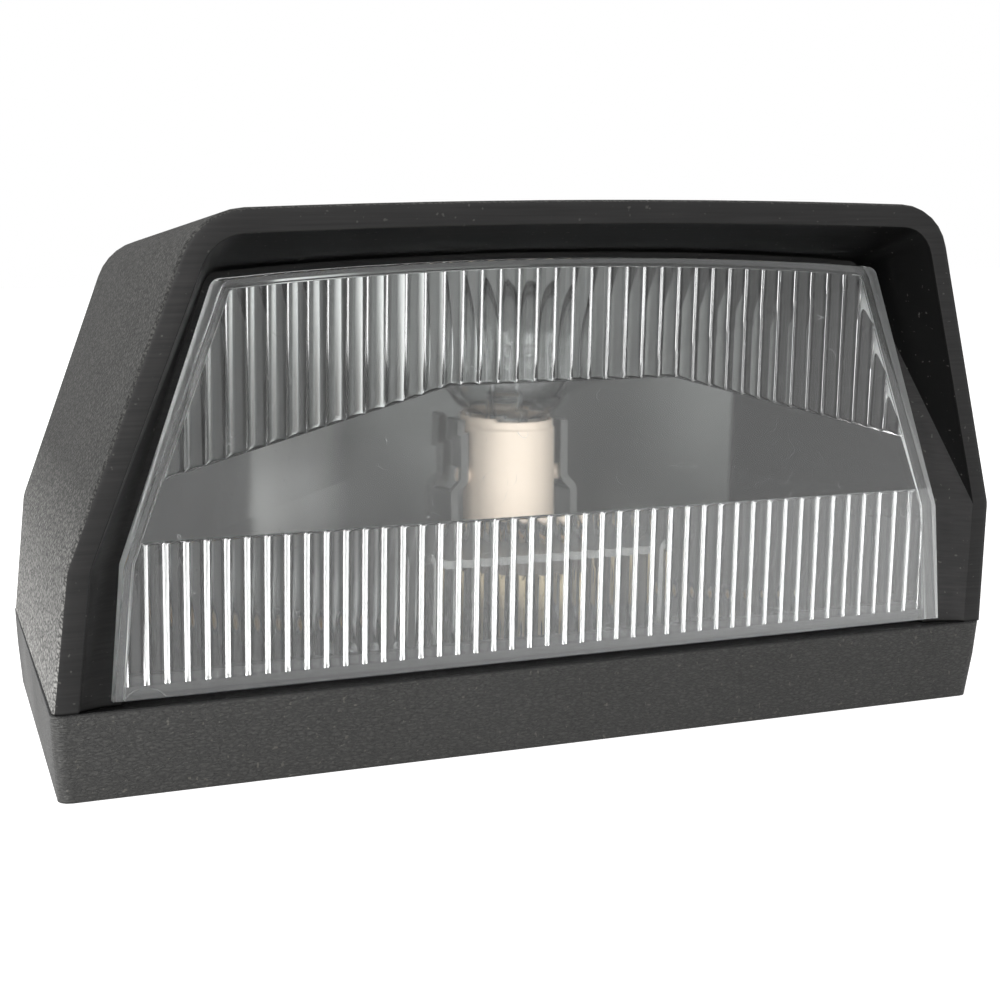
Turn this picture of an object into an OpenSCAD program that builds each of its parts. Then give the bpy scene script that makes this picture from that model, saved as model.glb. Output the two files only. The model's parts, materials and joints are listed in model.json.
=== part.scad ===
// Number plate lamp: a black moulded hood with a visor over a fluted lens,
// standing on a rubber base gasket, with a bayonet bulb, its holder and a folded reflector inside.

/* [Hood] */
// Width of the lamp at the seam between hood and gasket
hood_w = 104; // [96:1:112]
// Depth of the lamp at the seam, front face to rear face
hood_d = 61.5; // [56:0.5:68]
// Height of the seam above the mounting surface
seam_z = 8.7; // [8:0.1:10]
// Height of the bend between the upright and the sloping part of the side
bend_z = 22.35; // [20:0.5:25]
// How far each side has come in at the bend
bend_in = 1.15; // [0.5:0.05:2]
// Height of the roof at the front corners
roof_z = 54.6; // [52:0.5:60]
// Width of the roof at the front, where the sides would meet it
roof_w = 78.8; // [74:0.2:82]
// How much higher the roof is in the middle than at its corners
roof_crown = 0.7; // [0:0.1:1.5]
// Lean of the front frame: forward travel for each millimetre of height
front_lean = 0.1885; // [0.12:0.0005:0.22]
// Draft of each side: how far it comes in for each millimetre of depth
side_draft = 0.133; // [0.05:0.001:0.16]
// Fall of the roof towards the rear for each millimetre of depth
roof_fall = 0.044; // [0:0.001:0.08]
// Radius of the long top corners
roof_r = 6.2; // [4:0.1:8]
// Radius of the rear edges
rear_r = 5; // [3.5:0.1:7]
// Radius of the front outer edge
edge_r = 0.8; // [0.4:0.1:1.5]
// Wall of the hood
hood_wall = 2.3; // [1.8:0.1:2.8]
// Width of the flat front frame
frame_w = 2.3; // [1.8:0.1:3]
// Ledge that shows round the lens
ledge_gap = 0.6; // [0.4:0.1:1.2]
// Thickness of the front wall behind the ledge
ledge_t = 2; // [1.5:0.1:2.5]

/* [Lens] */
// Width of the lens at its bottom edge
lens_w = 92.4; // [90:0.1:94]
// Width of the lens at its bend
lens_bend_w = 90; // [88:0.1:92]
// Width of the lens at its top corners
lens_top_w = 70.8; // [68:0.1:73]
// Height of the lens's bottom edge above the seam
lens_low = 0.7; // [0.4:0.1:1.2]
// Height of the lens's bend above the seam
lens_bend = 13.5; // [12:0.5:16]
// Height of the lens's top corners above the seam
lens_top = 39.6; // [36:0.1:41]
// Rise of the lens's arched top edge
lens_arch = 1.4; // [0:0.1:2]
// Radius of the lens's top corners
lens_corner_r = 1.2; // [0.8:0.1:2]
// Forward lean of the lens's front face in degrees
lens_tilt = 4; // [2:0.5:6]
// Front face of the lens behind the hood's front line at the seam
lens_y = 0.2; // [0:0.1:0.4]
// Rear edge of the lens behind the hood's front line at the seam
lens_back = 1.3; // [1.1:0.1:1.6]
// Thickness of the clear field
field_t = 1.8; // [1.5:0.1:2.2]
// Wall of the lens at its sides
lens_wall = 1.3; // [1.1:0.1:1.6]
// Wall of the lens along its top edge
lens_top_wall = 0.9; // [0.8:0.1:1.2]
// How far the lens's rear edge overlaps the ledge less than its own wall
ledge_lap = 0.15; // [0.1:0.05:0.3]
// Pitch of the flutes
flute_pitch = 1.97; // [1.6:0.01:2.4]
// Sideways place of the middle flute
flute_shift = -0.4; // [-0.8:0.1:0.8]
// Height of the flutes in the lower band
flute_h = 0.75; // [0.3:0.05:0.95]
// Height of the flutes in the upper band
high_flute_h = 0.35; // [0.2:0.05:0.6]
// Foot of the lower flutes above the lens's bottom edge
flute_low = 1.2; // [0.8:0.1:1.6]
// Thickness of the sealing strip behind the lens's rear edge
seal_t = 0.3; // [0.2:0.1:0.5]
// Height of the lower band of flutes above the seam
low_band = 15.35; // [14:0.05:17]
// Height of the upper band's lower edge above the seam, in the middle
high_band = 28.7; // [26:0.1:31]
// Height of the upper band's lower edge above the seam, at its ends
high_band_end = 21.1; // [19:0.1:24]
// Width over which the upper band's lower edge is level
high_band_flat = 24.6; // [20:0.2:30]
// Width of the upper band's lower edge from end to end
high_band_w = 82; // [78:0.5:86]

/* [Base] */
// How far the gasket's foot is set in at its sides
foot_in = 0.55; // [0.2:0.05:1]
// How far the gasket's foot is set back at its front and rear
foot_back = 1.3; // [0.5:0.1:1.6]
// Wall of the gasket round the base plate
gasket_wall = 3; // [2.6:0.1:3.4]
// Thickness of the gasket's inward foot flange
gasket_floor = 2; // [1.6:0.1:2.4]
// Width of the foot flange, measured from the outside
gasket_flange = 5; // [4.4:0.1:5.4]
// Thickness of the base plate
plate_t = 3; // [2.5:0.1:3.5]
// Clearance between the base plate and the gasket
plate_gap = 0.2; // [0.1:0.05:0.3]
// Thickness of the base plate's raised rim
rim_t = 1.8; // [1.4:0.1:2.2]
// Height of the base plate's raised rim above the seam
rim_h = 2.6; // [1.5:0.1:3.5]
// Height of the pads under the bracket and reflector feet
pad_h = 3; // [2:0.5:4]

/* [Fixings] */
// Distance between the two threaded inserts that fix the lamp
insert_pitch = 50; // [44:1:54]
// Minor bore of the inserts
insert_bore = 4.2; // [3.3:0.1:4.5]
// Outside diameter of the inserts
insert_d = 7.4; // [6.4:0.1:8]
// Length of the inserts
insert_l = 10; // [8:0.5:12]
// Cable bore of the grommet
cable_bore = 5; // [3:0.5:6]
// Hole in the base plate for the grommet
grommet_hole = 10; // [9:0.5:12]
// Diameter of the self-tapping screws
screw_d = 2.9; // [2.5:0.1:3.2]
// Head diameter of the self-tapping screws
screw_head_d = 5.6; // [5:0.1:6]
// Head height of the self-tapping screws
screw_head_h = 1.7; // [1.3:0.1:2]
// Clearance round a screw
screw_gap = 0.15; // [0.1:0.05:0.3]

/* [Reflector] */
// Width of the reflector's middle panel
mirror_w = 31.2; // [30:0.2:38]
// Depth of the middle panel behind the front
mirror_y = 43.8; // [42:0.2:48]
// Width across the tips of the side panels
wing_w = 69; // [64:1:72]
// Depth of the tips of the side panels
wing_y = 30; // [28:0.5:38]
// How far the reflector's top stays below the inside of the roof
mirror_drop = 4.6; // [3:0.2:8]
// Thickness of the reflector sheet
mirror_t = 0.5; // [0.4:0.1:0.8]
// Height of the side panels' lower edge at their tips
wing_low = 9; // [8:0.5:14]
// How much lower the side panels' upper edge is at their tips
wing_drop = 5; // [0:0.5:8]
// Bend radius of the reflector's folds
mirror_bend_r = 2.5; // [1:0.5:4]

/* [Bulb holder] */
// Width of the bracket's plate
bracket_w = 27.5; // [25:0.5:30]
// Depth of the bracket's plate
bracket_d = 20; // [18:0.5:22]
// Height of the top of the bracket's plate
bracket_z = 19.8; // [18:0.1:21]
// Sheet thickness of the bracket
bracket_t = 0.8; // [0.6:0.1:1]
// Width of the bracket's legs
leg_w = 12; // [8:0.5:14]
// Length of the bracket's feet
foot_l = 6.8; // [6.4:0.1:8]
// Distance of the bulb's axis behind the front
bulb_y = 13.2; // [13:0.1:15]
// Sheet thickness of the holder
holder_t = 0.8; // [0.6:0.1:0.9]
// Height of the holder's arms above the bracket
holder_up = 12.3; // [9:0.1:12.5]
// Depth of the holder's arms, front edge to rear edge
holder_d = 6; // [5:0.5:7]
// Clearance between the bulb's cap and the holder's arms
cap_gap = 0.5; // [0.3:0.05:0.6]
// How much wider the holder is below its joggle, on each side
holder_step = 1.1; // [0.6:0.1:1.4]
// Thickness of the insulating disc
disc_t = 2; // [1.5:0.1:2.2]
// Width of the terminal blades
blade_w = 4.8; // [2.8:0.1:6.3]
// Thickness of the terminal blades
blade_t = 0.8; // [0.5:0.1:0.8]
// Length of the terminal blades
blade_l = 7; // [6:0.5:8]

/* [Bulb] */
// Diameter of the bulb's cap
cap_d = 9.25; // [9:0.05:9.5]
// Length of the cap's shell
cap_l = 10.6; // [10:0.1:10.8]
// Height of the cap's rim above the bracket
cap_rim = 12.6; // [12.4:0.1:13.4]
// Diameter of the glass globe
globe_d = 14.4; // [13:0.1:15]
// Wall of the glass
glass_t = 0.6; // [0.4:0.1:0.8]
// Diameter of the bayonet pins
pin_d = 1.6; // [1.4:0.1:1.7]
// Distance across the bayonet pins
pin_span = 11.2; // [10.8:0.1:11.4]
// Height of the pins above the cap's lower edge
pin_up = 4.9; // [4.4:0.1:5.2]

/* [Hidden] */

eps = 0.01;
bore_fn = 40;
// Reach of a cutter past each face of a sheet
cut_past = 1.2;
// Slack between parts that are pressed together
seat_gap = 0.05;

// The front leans over the seam, so the middle of the lamp's depth is not half of hood_d
front_y = -front_lean * (roof_z + roof_crown - edge_r - seam_z);
mid_y = (front_y + hood_d) / 2;
side_lean = (hood_w / 2 - bend_in - roof_w / 2) / (roof_z - bend_z);

plate_z = gasket_floor;
plate_top = plate_z + plate_t;
pad_z = plate_top + pad_h;
plate_in = gasket_wall + plate_gap;
rim_z = seam_z + rim_h;

// The lens's rear edge lies on the sealing strip, and that on the hood's upright ledge
ledge_y = lens_back + seal_t;
opening_in = lens_wall - ledge_lap;
opening_top = lens_top_wall - ledge_lap;
rim_gap = 0.3;
rim_front = ledge_y + ledge_t + rim_gap;
rib_l = hood_d - plate_in - rim_front - 2 * rim_t + 2 * eps;

// Depth of a slab that reaches from the leaning front face past the rear edge at every height
slab_t = lens_back + lens_top * tan(lens_tilt) + 2;
flute_count = 2 * ceil((lens_w / 2 - lens_wall) / flute_pitch) + 1;
flute_rise = 0.1;

arm_x = cap_d / 2 + cap_gap + holder_t / 2;
disc_low = bracket_z - bracket_t - disc_t;
disc_r = 6.4;
contact_hole_r = 3.6;
rim_of_cap = bracket_z + cap_rim;
cap_low = rim_of_cap - cap_l;
tip_h = 1.1;
contact_h = 0.5;
cap_tip = cap_low - tip_h;
contact_low = cap_tip - contact_h;
pin_z = cap_low + pin_up;

hood_screw_l = 12;
sheet_screw_l = 5;
screw_bore_r = screw_d / 2 + seat_gap;
screw_hole_r = screw_d / 2 + screw_gap;
head_hole_r = screw_head_d / 2 + 2 * screw_gap;
head_sink = 1.2;
boss_r = screw_d / 2 + 1.8;
boss_top = bend_z - 2;
boss_front_y = 12;
boss_back = 11.5;
boss_rear_y = hood_d - boss_back;
web_t = 2;
web_low = rim_z + 0.4;
holder_back = 3;
insert_y = mid_y;
// The inserts and the grommet stop short of the mounting surface
insert_z = 0.8;
plan_r = 1.2;
tab_w = 26;
tab_l = 9;
// The grommet lies just in front of the reflector's foot
grommet_ahead = 4;
grommet_y = mirror_y - tab_l - grommet_ahead;
mirror_top = roof_z - roof_fall * hood_d - hood_wall - mirror_drop;

// Rivets and the earth terminal's place on the bracket
rivet_r = 1.1;
rivet_head_t = 0.5;
rivet_hole_r = rivet_r + seat_gap;
small_rivet_r = 0.8;
small_rivet_hole_r = small_rivet_r + seat_gap;
// The rivets sit in the corner between the contact's hole and the arms
holder_rivet_x = 4.5;
holder_rivet_places = [
    for (side = [-1, 1])
        [side * holder_rivet_x, bulb_y + holder_back / 2]
];
earth_x = 9;
earth_in = 3.2;
earth_y = bulb_y + bracket_d / 2 - earth_in;

// Inside of the bulb
globe_r = globe_d / 2;
neck_r = cap_d / 2 - 0.65;
globe_z = rim_of_cap + sqrt(globe_r * globe_r - neck_r * neck_r) + 0.2;
neck_low = rim_of_cap - 3;
stem_top = rim_of_cap + 2.4;
filament_z = globe_z + 0.6;
filament_l = 3.4;
lead_r = 0.2;
lead_low_x = 0.6;
lead_top_x = filament_l / 2 + 0.3;
lead_low = neck_low + 0.2;

function hood_half(y) = hood_w / 2 - side_draft * y;
function boss_x(y) = hood_half(y) - gasket_flange - head_hole_r - 0.2;
// Inside the hood's wall at the top of a boss, where its web ends
function web_end(y) =
    hood_half(hood_depth(y + web_t, boss_top, 0)) - bend_in - hood_wall / 2;
boss_places = [
    for (side = [-1, 1])
    for (y = [boss_front_y, boss_rear_y])
        [side * boss_x(y), y]
];
foot_screw_out = 0.2;
foot_places = [
    for (side = [-1, 1])
        [side * (bracket_w / 2 + foot_l / 2 + foot_screw_out), bulb_y]
];
tab_places = [for (side = [-1, 1]) [side * tab_w / 3, mirror_y - tab_l / 2 - mirror_t]];
insert_places = [for (side = [-1, 1]) [side * insert_pitch / 2, insert_y]];

// Points of an arc that rounds the corner b between a and c
function unit(v) = v / norm(v);
function fillet(a, b, c, r, steps) =
    let (
        u = unit(a - b),
        v = unit(c - b),
        half = acos(u * v) / 2,
        m = unit(u + v),
        centre = b + m * r / sin(half),
        start = b + u * r / tan(half) - centre,
        turn = (u[0] * v[1] - u[1] * v[0] > 0 ? 1 : -1) * (180 - 2 * half)
    )
    [
        for (i = [0:steps])
            let (w = -turn * i / steps)
            centre + [
                start[0] * cos(w) - start[1] * sin(w),
                start[0] * sin(w) + start[1] * cos(w)
            ]
    ];
function rounded(points, radii, steps) =
    let (n = len(points))
    [
        for (i = [0:n - 1])
            each radii[i] > 0
                ? fillet(points[(i + n - 1) % n], points[i], points[(i + 1) % n], radii[i], steps)
                : [points[i]]
    ];

// A bent strip of sheet seen edge on: a path with rounded corners, thickened both ways
function bend_path(path, r, steps) =
    [
        path[0],
        for (i = [1:len(path) - 2])
            each fillet(path[i - 1], path[i], path[i + 1], r, steps),
        path[len(path) - 1]
    ];
function path_normal(path, i) =
    let (
        n = len(path),
        a = i > 0 ? unit(path[i] - path[i - 1]) : unit(path[1] - path[0]),
        b = i < n - 1 ? unit(path[i + 1] - path[i]) : a,
        m = unit(a + b)
    )
    [-m[1], m[0]] / (m * a);
module strip(path, t, r, steps = 5) {
    line = bend_path(path, r, steps);
    n = len(line);
    polygon([
        for (i = [0:n - 1]) line[i] + path_normal(line, i) * t / 2,
        for (i = [n - 1:-1:0]) line[i] - path_normal(line, i) * t / 2
    ]);
}

// Outline of the hood in a plane across its depth. The plane meets the seam y behind the
// front and leans forward by lean. The outline is set in by inset and starts at height low.
function hood_depth(y, z, lean) = y + (z - seam_z) * (front_lean - lean);
function hood_outline(y, lean, inset, low) =
    let (
        steep = sqrt(1 + side_lean * side_lean),
        low_x = hood_half(hood_depth(y, seam_z, lean)) - inset,
        bend_x = hood_half(hood_depth(y, bend_z, lean)) - bend_in - inset,
        top_depth = hood_depth(y, roof_z, lean),
        top_z = roof_z - roof_fall * top_depth - inset,
        top_x = roof_w / 2 - side_draft * top_depth
            + (roof_z - top_z) * side_lean - inset * steep,
        r = max(roof_r - inset, 0.6),
        right = concat(
            fillet([low_x, low], [bend_x, bend_z], [top_x, top_z], 3, 2),
            fillet([bend_x, bend_z], [top_x, top_z], [0, top_z], r, 6)
        ),
        arch_x = right[len(right) - 1][0],
        arch = [for (k = [5:-1:-5]) [k / 6 * arch_x, top_z]],
        left = [for (i = [len(right) - 1:-1:0]) [-right[i][0], right[i][1]]]
    )
    concat(
        [[-low_x, low], [low_x, low]],
        [
            for (p = concat(right, arch, left))
                p[1] > bend_z + 5
                    ? [p[0], p[1] + roof_crown * (1 - pow(p[0] / top_x, 2))]
                    : p
        ]
    );

module at_origin() {
    translate([0, -mid_y, 0])
        children();
}

// A thin slice of the hood's outline, leant forward with the plane it lies in
module hood_slice(y, lean, inset, low) {
    multmatrix([
        [1, 0, 0, 0],
        [0, 1, -lean, y + seam_z * lean],
        [0, 0, 1, 0],
        [0, 0, 0, 1]
    ])
        rotate([90, 0, 0])
            linear_extrude(eps)
                polygon(hood_outline(y, lean, inset, low));
}

module hood_form() {
    hull() {
        for (a = [0, 45, 90])
            hood_slice(edge_r * (1 - sin(a)), front_lean, edge_r * (1 - cos(a)), seam_z);
        for (a = [0:15:90])
            hood_slice(hood_d - rear_r + rear_r * sin(a), 0, rear_r * (1 - cos(a)), seam_z);
    }
}

module hood_cavity() {
    inner_r = max(rear_r - hood_wall, 0.6);
    hull() {
        hood_slice(ledge_y + ledge_t, 0, hood_wall, seam_z - 1);
        for (a = [0:22.5:90])
            hood_slice(
                hood_d - hood_wall - inner_r + inner_r * sin(a), 0,
                hood_wall + inner_r * (1 - cos(a)), seam_z - 1
            );
    }
}

// The lens's own plane: x across, y into the lamp, z up along the lens from the seam
module in_lens_plane() {
    translate([0, lens_y, seam_z])
        rotate([lens_tilt, 0, 0])
            children();
}

module lens_sheet(from, to) {
    translate([0, to, 0])
        rotate([90, 0, 0])
            linear_extrude(to - from)
                children();
}

// A shape seen from the front, drawn from the seam up and extruded level from depth to depth
module upright(from, to) {
    translate([0, 0, seam_z])
        lens_sheet(from, to)
            children();
}

// A slab that lies in the lens's plane and is larger than the lens
module lens_slab(from, to) {
    in_lens_plane()
        lens_sheet(from, to)
            translate([-lens_w, -lens_top])
                square([2 * lens_w, 3 * lens_top]);
}

// Outline of the lens from the front, set in at its sides and top and cut off at height low
function lens_outline(side, top, low) =
    let (
        lean = (lens_bend_w - lens_top_w) / 2 / (lens_top - lens_bend),
        steep = sqrt(1 + lean * lean),
        roof = lens_top - top,
        top_x = lens_top_w / 2 + top * lean - side * steep,
        bend_x = lens_bend_w / 2 - side,
        foot_lean = (lens_w - lens_bend_w) / 2 / (lens_bend - lens_low),
        low_x = lens_w / 2 - side + (lens_low - low) * foot_lean,
        r = max(lens_corner_r - side / 2, 0.5)
    )
    [
        [-low_x, low],
        [low_x, low],
        [bend_x, lens_bend],
        each fillet([bend_x, lens_bend], [top_x, roof], [0, roof + lens_arch / 2], r, 4),
        for (k = [5:-1:-5]) [k / 6 * top_x, roof + lens_arch * (1 - pow(k / 6, 2))],
        each fillet([0, roof + lens_arch / 2], [-top_x, roof], [-bend_x, lens_bend], r, 4),
        [-bend_x, lens_bend]
    ];

// Outline of the lamp in plan, set in by side, front and rear
function plan_outline(side, front, rear) =
    let (
        r = max(rear_r - (side + rear) / 2, 0.6),
        front_x = hood_half(front) - side,
        rear_x = hood_half(hood_d - rear - r) - side,
        right = [
            for (a = [0:30:90])
                [front_x - plan_r * (1 - sin(a)), front + plan_r * (1 - cos(a))],
            for (a = [0:15:90])
                [rear_x - r * (1 - cos(a)), hood_d - rear - r + r * sin(a)]
        ]
    )
    concat(right, [for (i = [len(right) - 1:-1:0]) [-right[i][0], right[i][1]]]);

module plan(inset) {
    polygon(plan_outline(inset, inset, inset));
}

module plan_slice(z, side, back) {
    translate([0, 0, z])
        linear_extrude(eps)
            polygon(plan_outline(side, back, back));
}

// The gasket is set in at its foot and swells towards the seam
module base_gasket() {
    waist = 0.55;
    color("#2b2b2c")
        at_origin()
            difference() {
                hull() {
                    plan_slice(0, foot_in, foot_back);
                    plan_slice(waist * seam_z, foot_in * 0.3, foot_back * 0.38);
                    plan_slice(seam_z - eps, 0, 0);
                }
                translate([0, 0, gasket_floor])
                    linear_extrude(seam_z)
                        plan(gasket_wall);
                translate([0, 0, -1])
                    linear_extrude(seam_z)
                        plan(gasket_flange);
            }
}

module base_plate() {
    pad_d = screw_d + 5;
    socket_d = insert_d + 3.6;
    socket_h = insert_l - 1;
    rib_x = 32;
    rib_t = 1.4;
    rib_up = 1.5;
    pilot_z = plate_z + 0.8;
    color("#1d1d1e")
        at_origin()
            difference() {
                union() {
                    translate([0, 0, plate_z])
                        linear_extrude(plate_t)
                            plan(plate_in);
                    translate([0, 0, plate_z])
                        linear_extrude(rim_z - plate_z)
                            difference() {
                                polygon(plan_outline(plate_in, rim_front, plate_in));
                                polygon(plan_outline(
                                    plate_in + rim_t, rim_front + rim_t, plate_in + rim_t
                                ));
                            }
                    for (p = concat(foot_places, tab_places))
                        translate([p[0], p[1], plate_z])
                            cylinder(h = pad_z - plate_z, d = pad_d, $fn = bore_fn);
                    for (p = insert_places)
                        translate([p[0], p[1], plate_z])
                            cylinder(h = socket_h, d = socket_d, $fn = bore_fn);
                    for (x = [-rib_x, rib_x])
                        translate([x - rib_t / 2, rim_front + rim_t - eps, plate_z])
                            cube([rib_t, rib_l, plate_t + rib_up]);
                }
                for (p = boss_places)
                    translate([p[0], p[1], 0]) {
                        cylinder(h = plate_top + 1, r = screw_hole_r, $fn = bore_fn);
                        cylinder(h = plate_z + head_sink, r = head_hole_r, $fn = bore_fn);
                    }
                for (p = concat(foot_places, tab_places))
                    translate([p[0], p[1], pilot_z])
                        cylinder(h = pad_z, r = screw_bore_r, $fn = bore_fn);
                for (p = insert_places)
                    translate([p[0], p[1], 0])
                        cylinder(h = 3 * insert_l, r = insert_d / 2 + seat_gap, $fn = bore_fn);
                translate([0, grommet_y, 0])
                    cylinder(h = plate_top + 1, d = grommet_hole, $fn = bore_fn);
            }
}

module mount_inserts() {
    flange_d = insert_d + 2;
    color("#b8964e")
        at_origin()
            for (p = insert_places)
                translate([p[0], p[1], insert_z])
                    difference() {
                        union() {
                            cylinder(h = insert_l, d = insert_d, $fn = bore_fn);
                            cylinder(h = plate_z - insert_z, d = flange_d, $fn = 6);
                        }
                        translate([0, 0, -1])
                            cylinder(h = insert_l + 2, d = insert_bore, $fn = bore_fn);
                    }
}

// The grommet's groove holds the edge of the base plate between two flanges
module cable_grommet() {
    bore_r = cable_bore / 2;
    groove_r = grommet_hole / 2 - seat_gap;
    flange_lap = 2;
    flange_r = grommet_hole / 2 + flange_lap;
    flange_t = 1.3;
    flange_edge = 0.6;
    collar_wall = 1;
    collar_r = bore_r + collar_wall;
    collar_h = 4.5;
    collar_top = plate_top + collar_h;
    color("#262627")
        at_origin()
            translate([0, grommet_y, 0])
                rotate_extrude($fn = bore_fn)
                    polygon([
                        [bore_r, insert_z],
                        [flange_r, insert_z],
                        [flange_r, plate_z],
                        [groove_r, plate_z],
                        [groove_r, plate_top],
                        [flange_r, plate_top],
                        [flange_r - flange_edge, plate_top + flange_t],
                        [collar_r + flange_edge, plate_top + flange_t],
                        [collar_r, collar_top],
                        [bore_r, collar_top]
                    ]);
}

module hood() {
    opening_low = -seam_z;
    bore_end = boss_top - 2.5;
    lip_draft = 0.25;
    color("#232324")
        at_origin()
            difference() {
                union() {
                    difference() {
                        hood_form();
                        hood_cavity();
                    }
                    for (p = boss_places) {
                        web = web_end(p[1]) - abs(p[0]);
                        translate([p[0], p[1], plate_top])
                            cylinder(h = boss_top - plate_top, r = boss_r, $fn = bore_fn);
                        translate([p[0] - (p[0] < 0 ? web : 0), p[1] - web_t / 2, web_low])
                            cube([web, web_t, boss_top - web_low]);
                    }
                }
                // the visor's pocket, from the frame's inner edge to the ledge
                hull() {
                    hood_slice(-1, front_lean, frame_w - lip_draft, seam_z - 2);
                    hood_slice(0, front_lean, frame_w, seam_z - 2);
                    upright(ledge_y - eps, ledge_y)
                        polygon(lens_outline(-ledge_gap, -ledge_gap, opening_low));
                }
                // the opening behind the lens
                upright(0, ledge_y + 2 * ledge_t)
                    polygon(lens_outline(opening_in, opening_top, opening_low));
                for (p = boss_places)
                    translate([p[0], p[1], 0])
                        cylinder(h = bore_end, r = screw_bore_r, $fn = bore_fn);
            }
}

// A pan-head screw standing upright on its head, with a cross recess
module screw(length) {
    chamfer_h = screw_head_h * 0.55;
    end = screw_head_h + length;
    point = 1.5;
    recess_l = 2.8;
    recess_w = 0.7;
    recess_d = 0.9;
    difference() {
        union() {
            cylinder(h = chamfer_h, d1 = screw_head_d - 1.2, d2 = screw_head_d, $fn = bore_fn);
            translate([0, 0, chamfer_h])
                cylinder(h = screw_head_h - chamfer_h, d = screw_head_d, $fn = bore_fn);
            cylinder(h = end - point, d = screw_d, $fn = bore_fn);
            translate([0, 0, end - point])
                cylinder(h = point, d1 = screw_d, d2 = 0.8, $fn = bore_fn);
        }
        for (a = [0, 90])
            rotate([0, 0, a])
                translate([-recess_l / 2, -recess_w / 2, -1])
                    cube([recess_l, recess_w, recess_d + 1]);
    }
}

// Screws put in from above, head up, with their heads on a sheet at height z
module sheet_screws(places, z) {
    color("#b9bcc0")
        at_origin()
            for (p = places)
                translate([p[0], p[1], z + screw_head_h])
                    rotate([180, 0, 0])
                        screw(sheet_screw_l);
}

module hood_screws() {
    color("#b9bcc0")
        at_origin()
            for (p = boss_places)
                translate([p[0], p[1], plate_z + head_sink - screw_head_h])
                    screw(hood_screw_l);
}

// A band of flutes of height h inside an outline, clipped to the clear field
module flute_band(band, h) {
    edge_gap = 0.1;
    flute_r = (flute_pitch * flute_pitch / 4 + h * h) / (2 * h);
    last = (flute_count - 1) / 2;
    intersection() {
        in_lens_plane()
            lens_sheet(field_t - 0.5, field_t + h + 1)
                polygon(band);
        upright(-lens_top, lens_back + 2 * field_t)
            polygon(lens_outline(
                lens_wall + edge_gap, lens_top_wall + edge_gap, lens_low + flute_low
            ));
        in_lens_plane()
            for (i = [-last:last])
                translate([
                    i * flute_pitch + flute_shift, field_t + flute_rise + h - flute_r, 0
                ])
                    cylinder(h = lens_top + 2, r = flute_r, $fn = bore_fn);
    }
}

// The lens is a tray: a leaning front field with walls that run level back to an upright rear edge
module lens() {
    wide = high_band_w / 2;
    flat = high_band_flat / 2;
    far = lens_back + 2 * field_t;
    color("#cfd6d8", 0.45)
        at_origin() {
            difference() {
                union() {
                    intersection() {
                        upright(-lens_top, lens_back)
                            polygon(lens_outline(0, 0, lens_low));
                        lens_slab(0, slab_t);
                    }
                    intersection() {
                        upright(-lens_top, far)
                            polygon(lens_outline(lens_wall, lens_top_wall, lens_low));
                        lens_slab(0, field_t);
                    }
                }
                intersection() {
                    upright(-lens_top, far)
                        polygon(lens_outline(lens_wall, lens_top_wall, lens_low));
                    lens_slab(field_t, 2 * slab_t);
                }
            }
            flute_band([
                [-lens_w, 0], [lens_w, 0], [lens_w, low_band], [-lens_w, low_band]
            ], flute_h);
            flute_band([
                [-wide, high_band_end], [-flat, high_band],
                [flat, high_band], [wide, high_band_end],
                [wide, lens_top + 4], [-wide, lens_top + 4]
            ], high_flute_h);
        }
}

// The strip lies between the lens's rear edge and the ledge, and is open at the lens's foot
module lens_seal() {
    seal_in = 0.2;
    seal_gap = 0.05;
    color("#3a3a3a")
        at_origin()
            upright(lens_back, ledge_y)
                difference() {
                    polygon(lens_outline(seal_in, seal_in, lens_low));
                    polygon(lens_outline(opening_in - seal_gap, opening_top - seal_gap, -seam_z));
                }
}

module reflector() {
    tip = wing_w / 2 + mirror_t;
    fold = mirror_w / 2;
    color("#c3c6c8")
        at_origin()
            difference() {
                union() {
                    intersection() {
                        translate([0, 0, pad_z])
                            linear_extrude(mirror_top - pad_z)
                                strip([
                                    [-wing_w / 2, wing_y], [-fold, mirror_y],
                                    [fold, mirror_y], [wing_w / 2, wing_y]
                                ], mirror_t, mirror_bend_r);
                        translate([0, hood_d, 0])
                            rotate([90, 0, 0])
                                linear_extrude(hood_d)
                                    polygon([
                                        [-tip, wing_low], [-fold, pad_z],
                                        [fold, pad_z], [tip, wing_low],
                                        [tip, mirror_top - wing_drop], [fold, mirror_top],
                                        [-fold, mirror_top], [-tip, mirror_top - wing_drop]
                                    ]);
                    }
                    translate([-tab_w / 2, mirror_y - tab_l, pad_z])
                        cube([tab_w, tab_l, mirror_t]);
                }
                for (p = tab_places)
                    translate([p[0], p[1], pad_z - 1])
                        cylinder(h = 3, r = screw_hole_r, $fn = bore_fn);
            }
}

module reflector_screws() {
    sheet_screws(tab_places, pad_z + mirror_t);
}

module bracket_screws() {
    sheet_screws(foot_places, pad_z + bracket_t);
}

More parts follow.
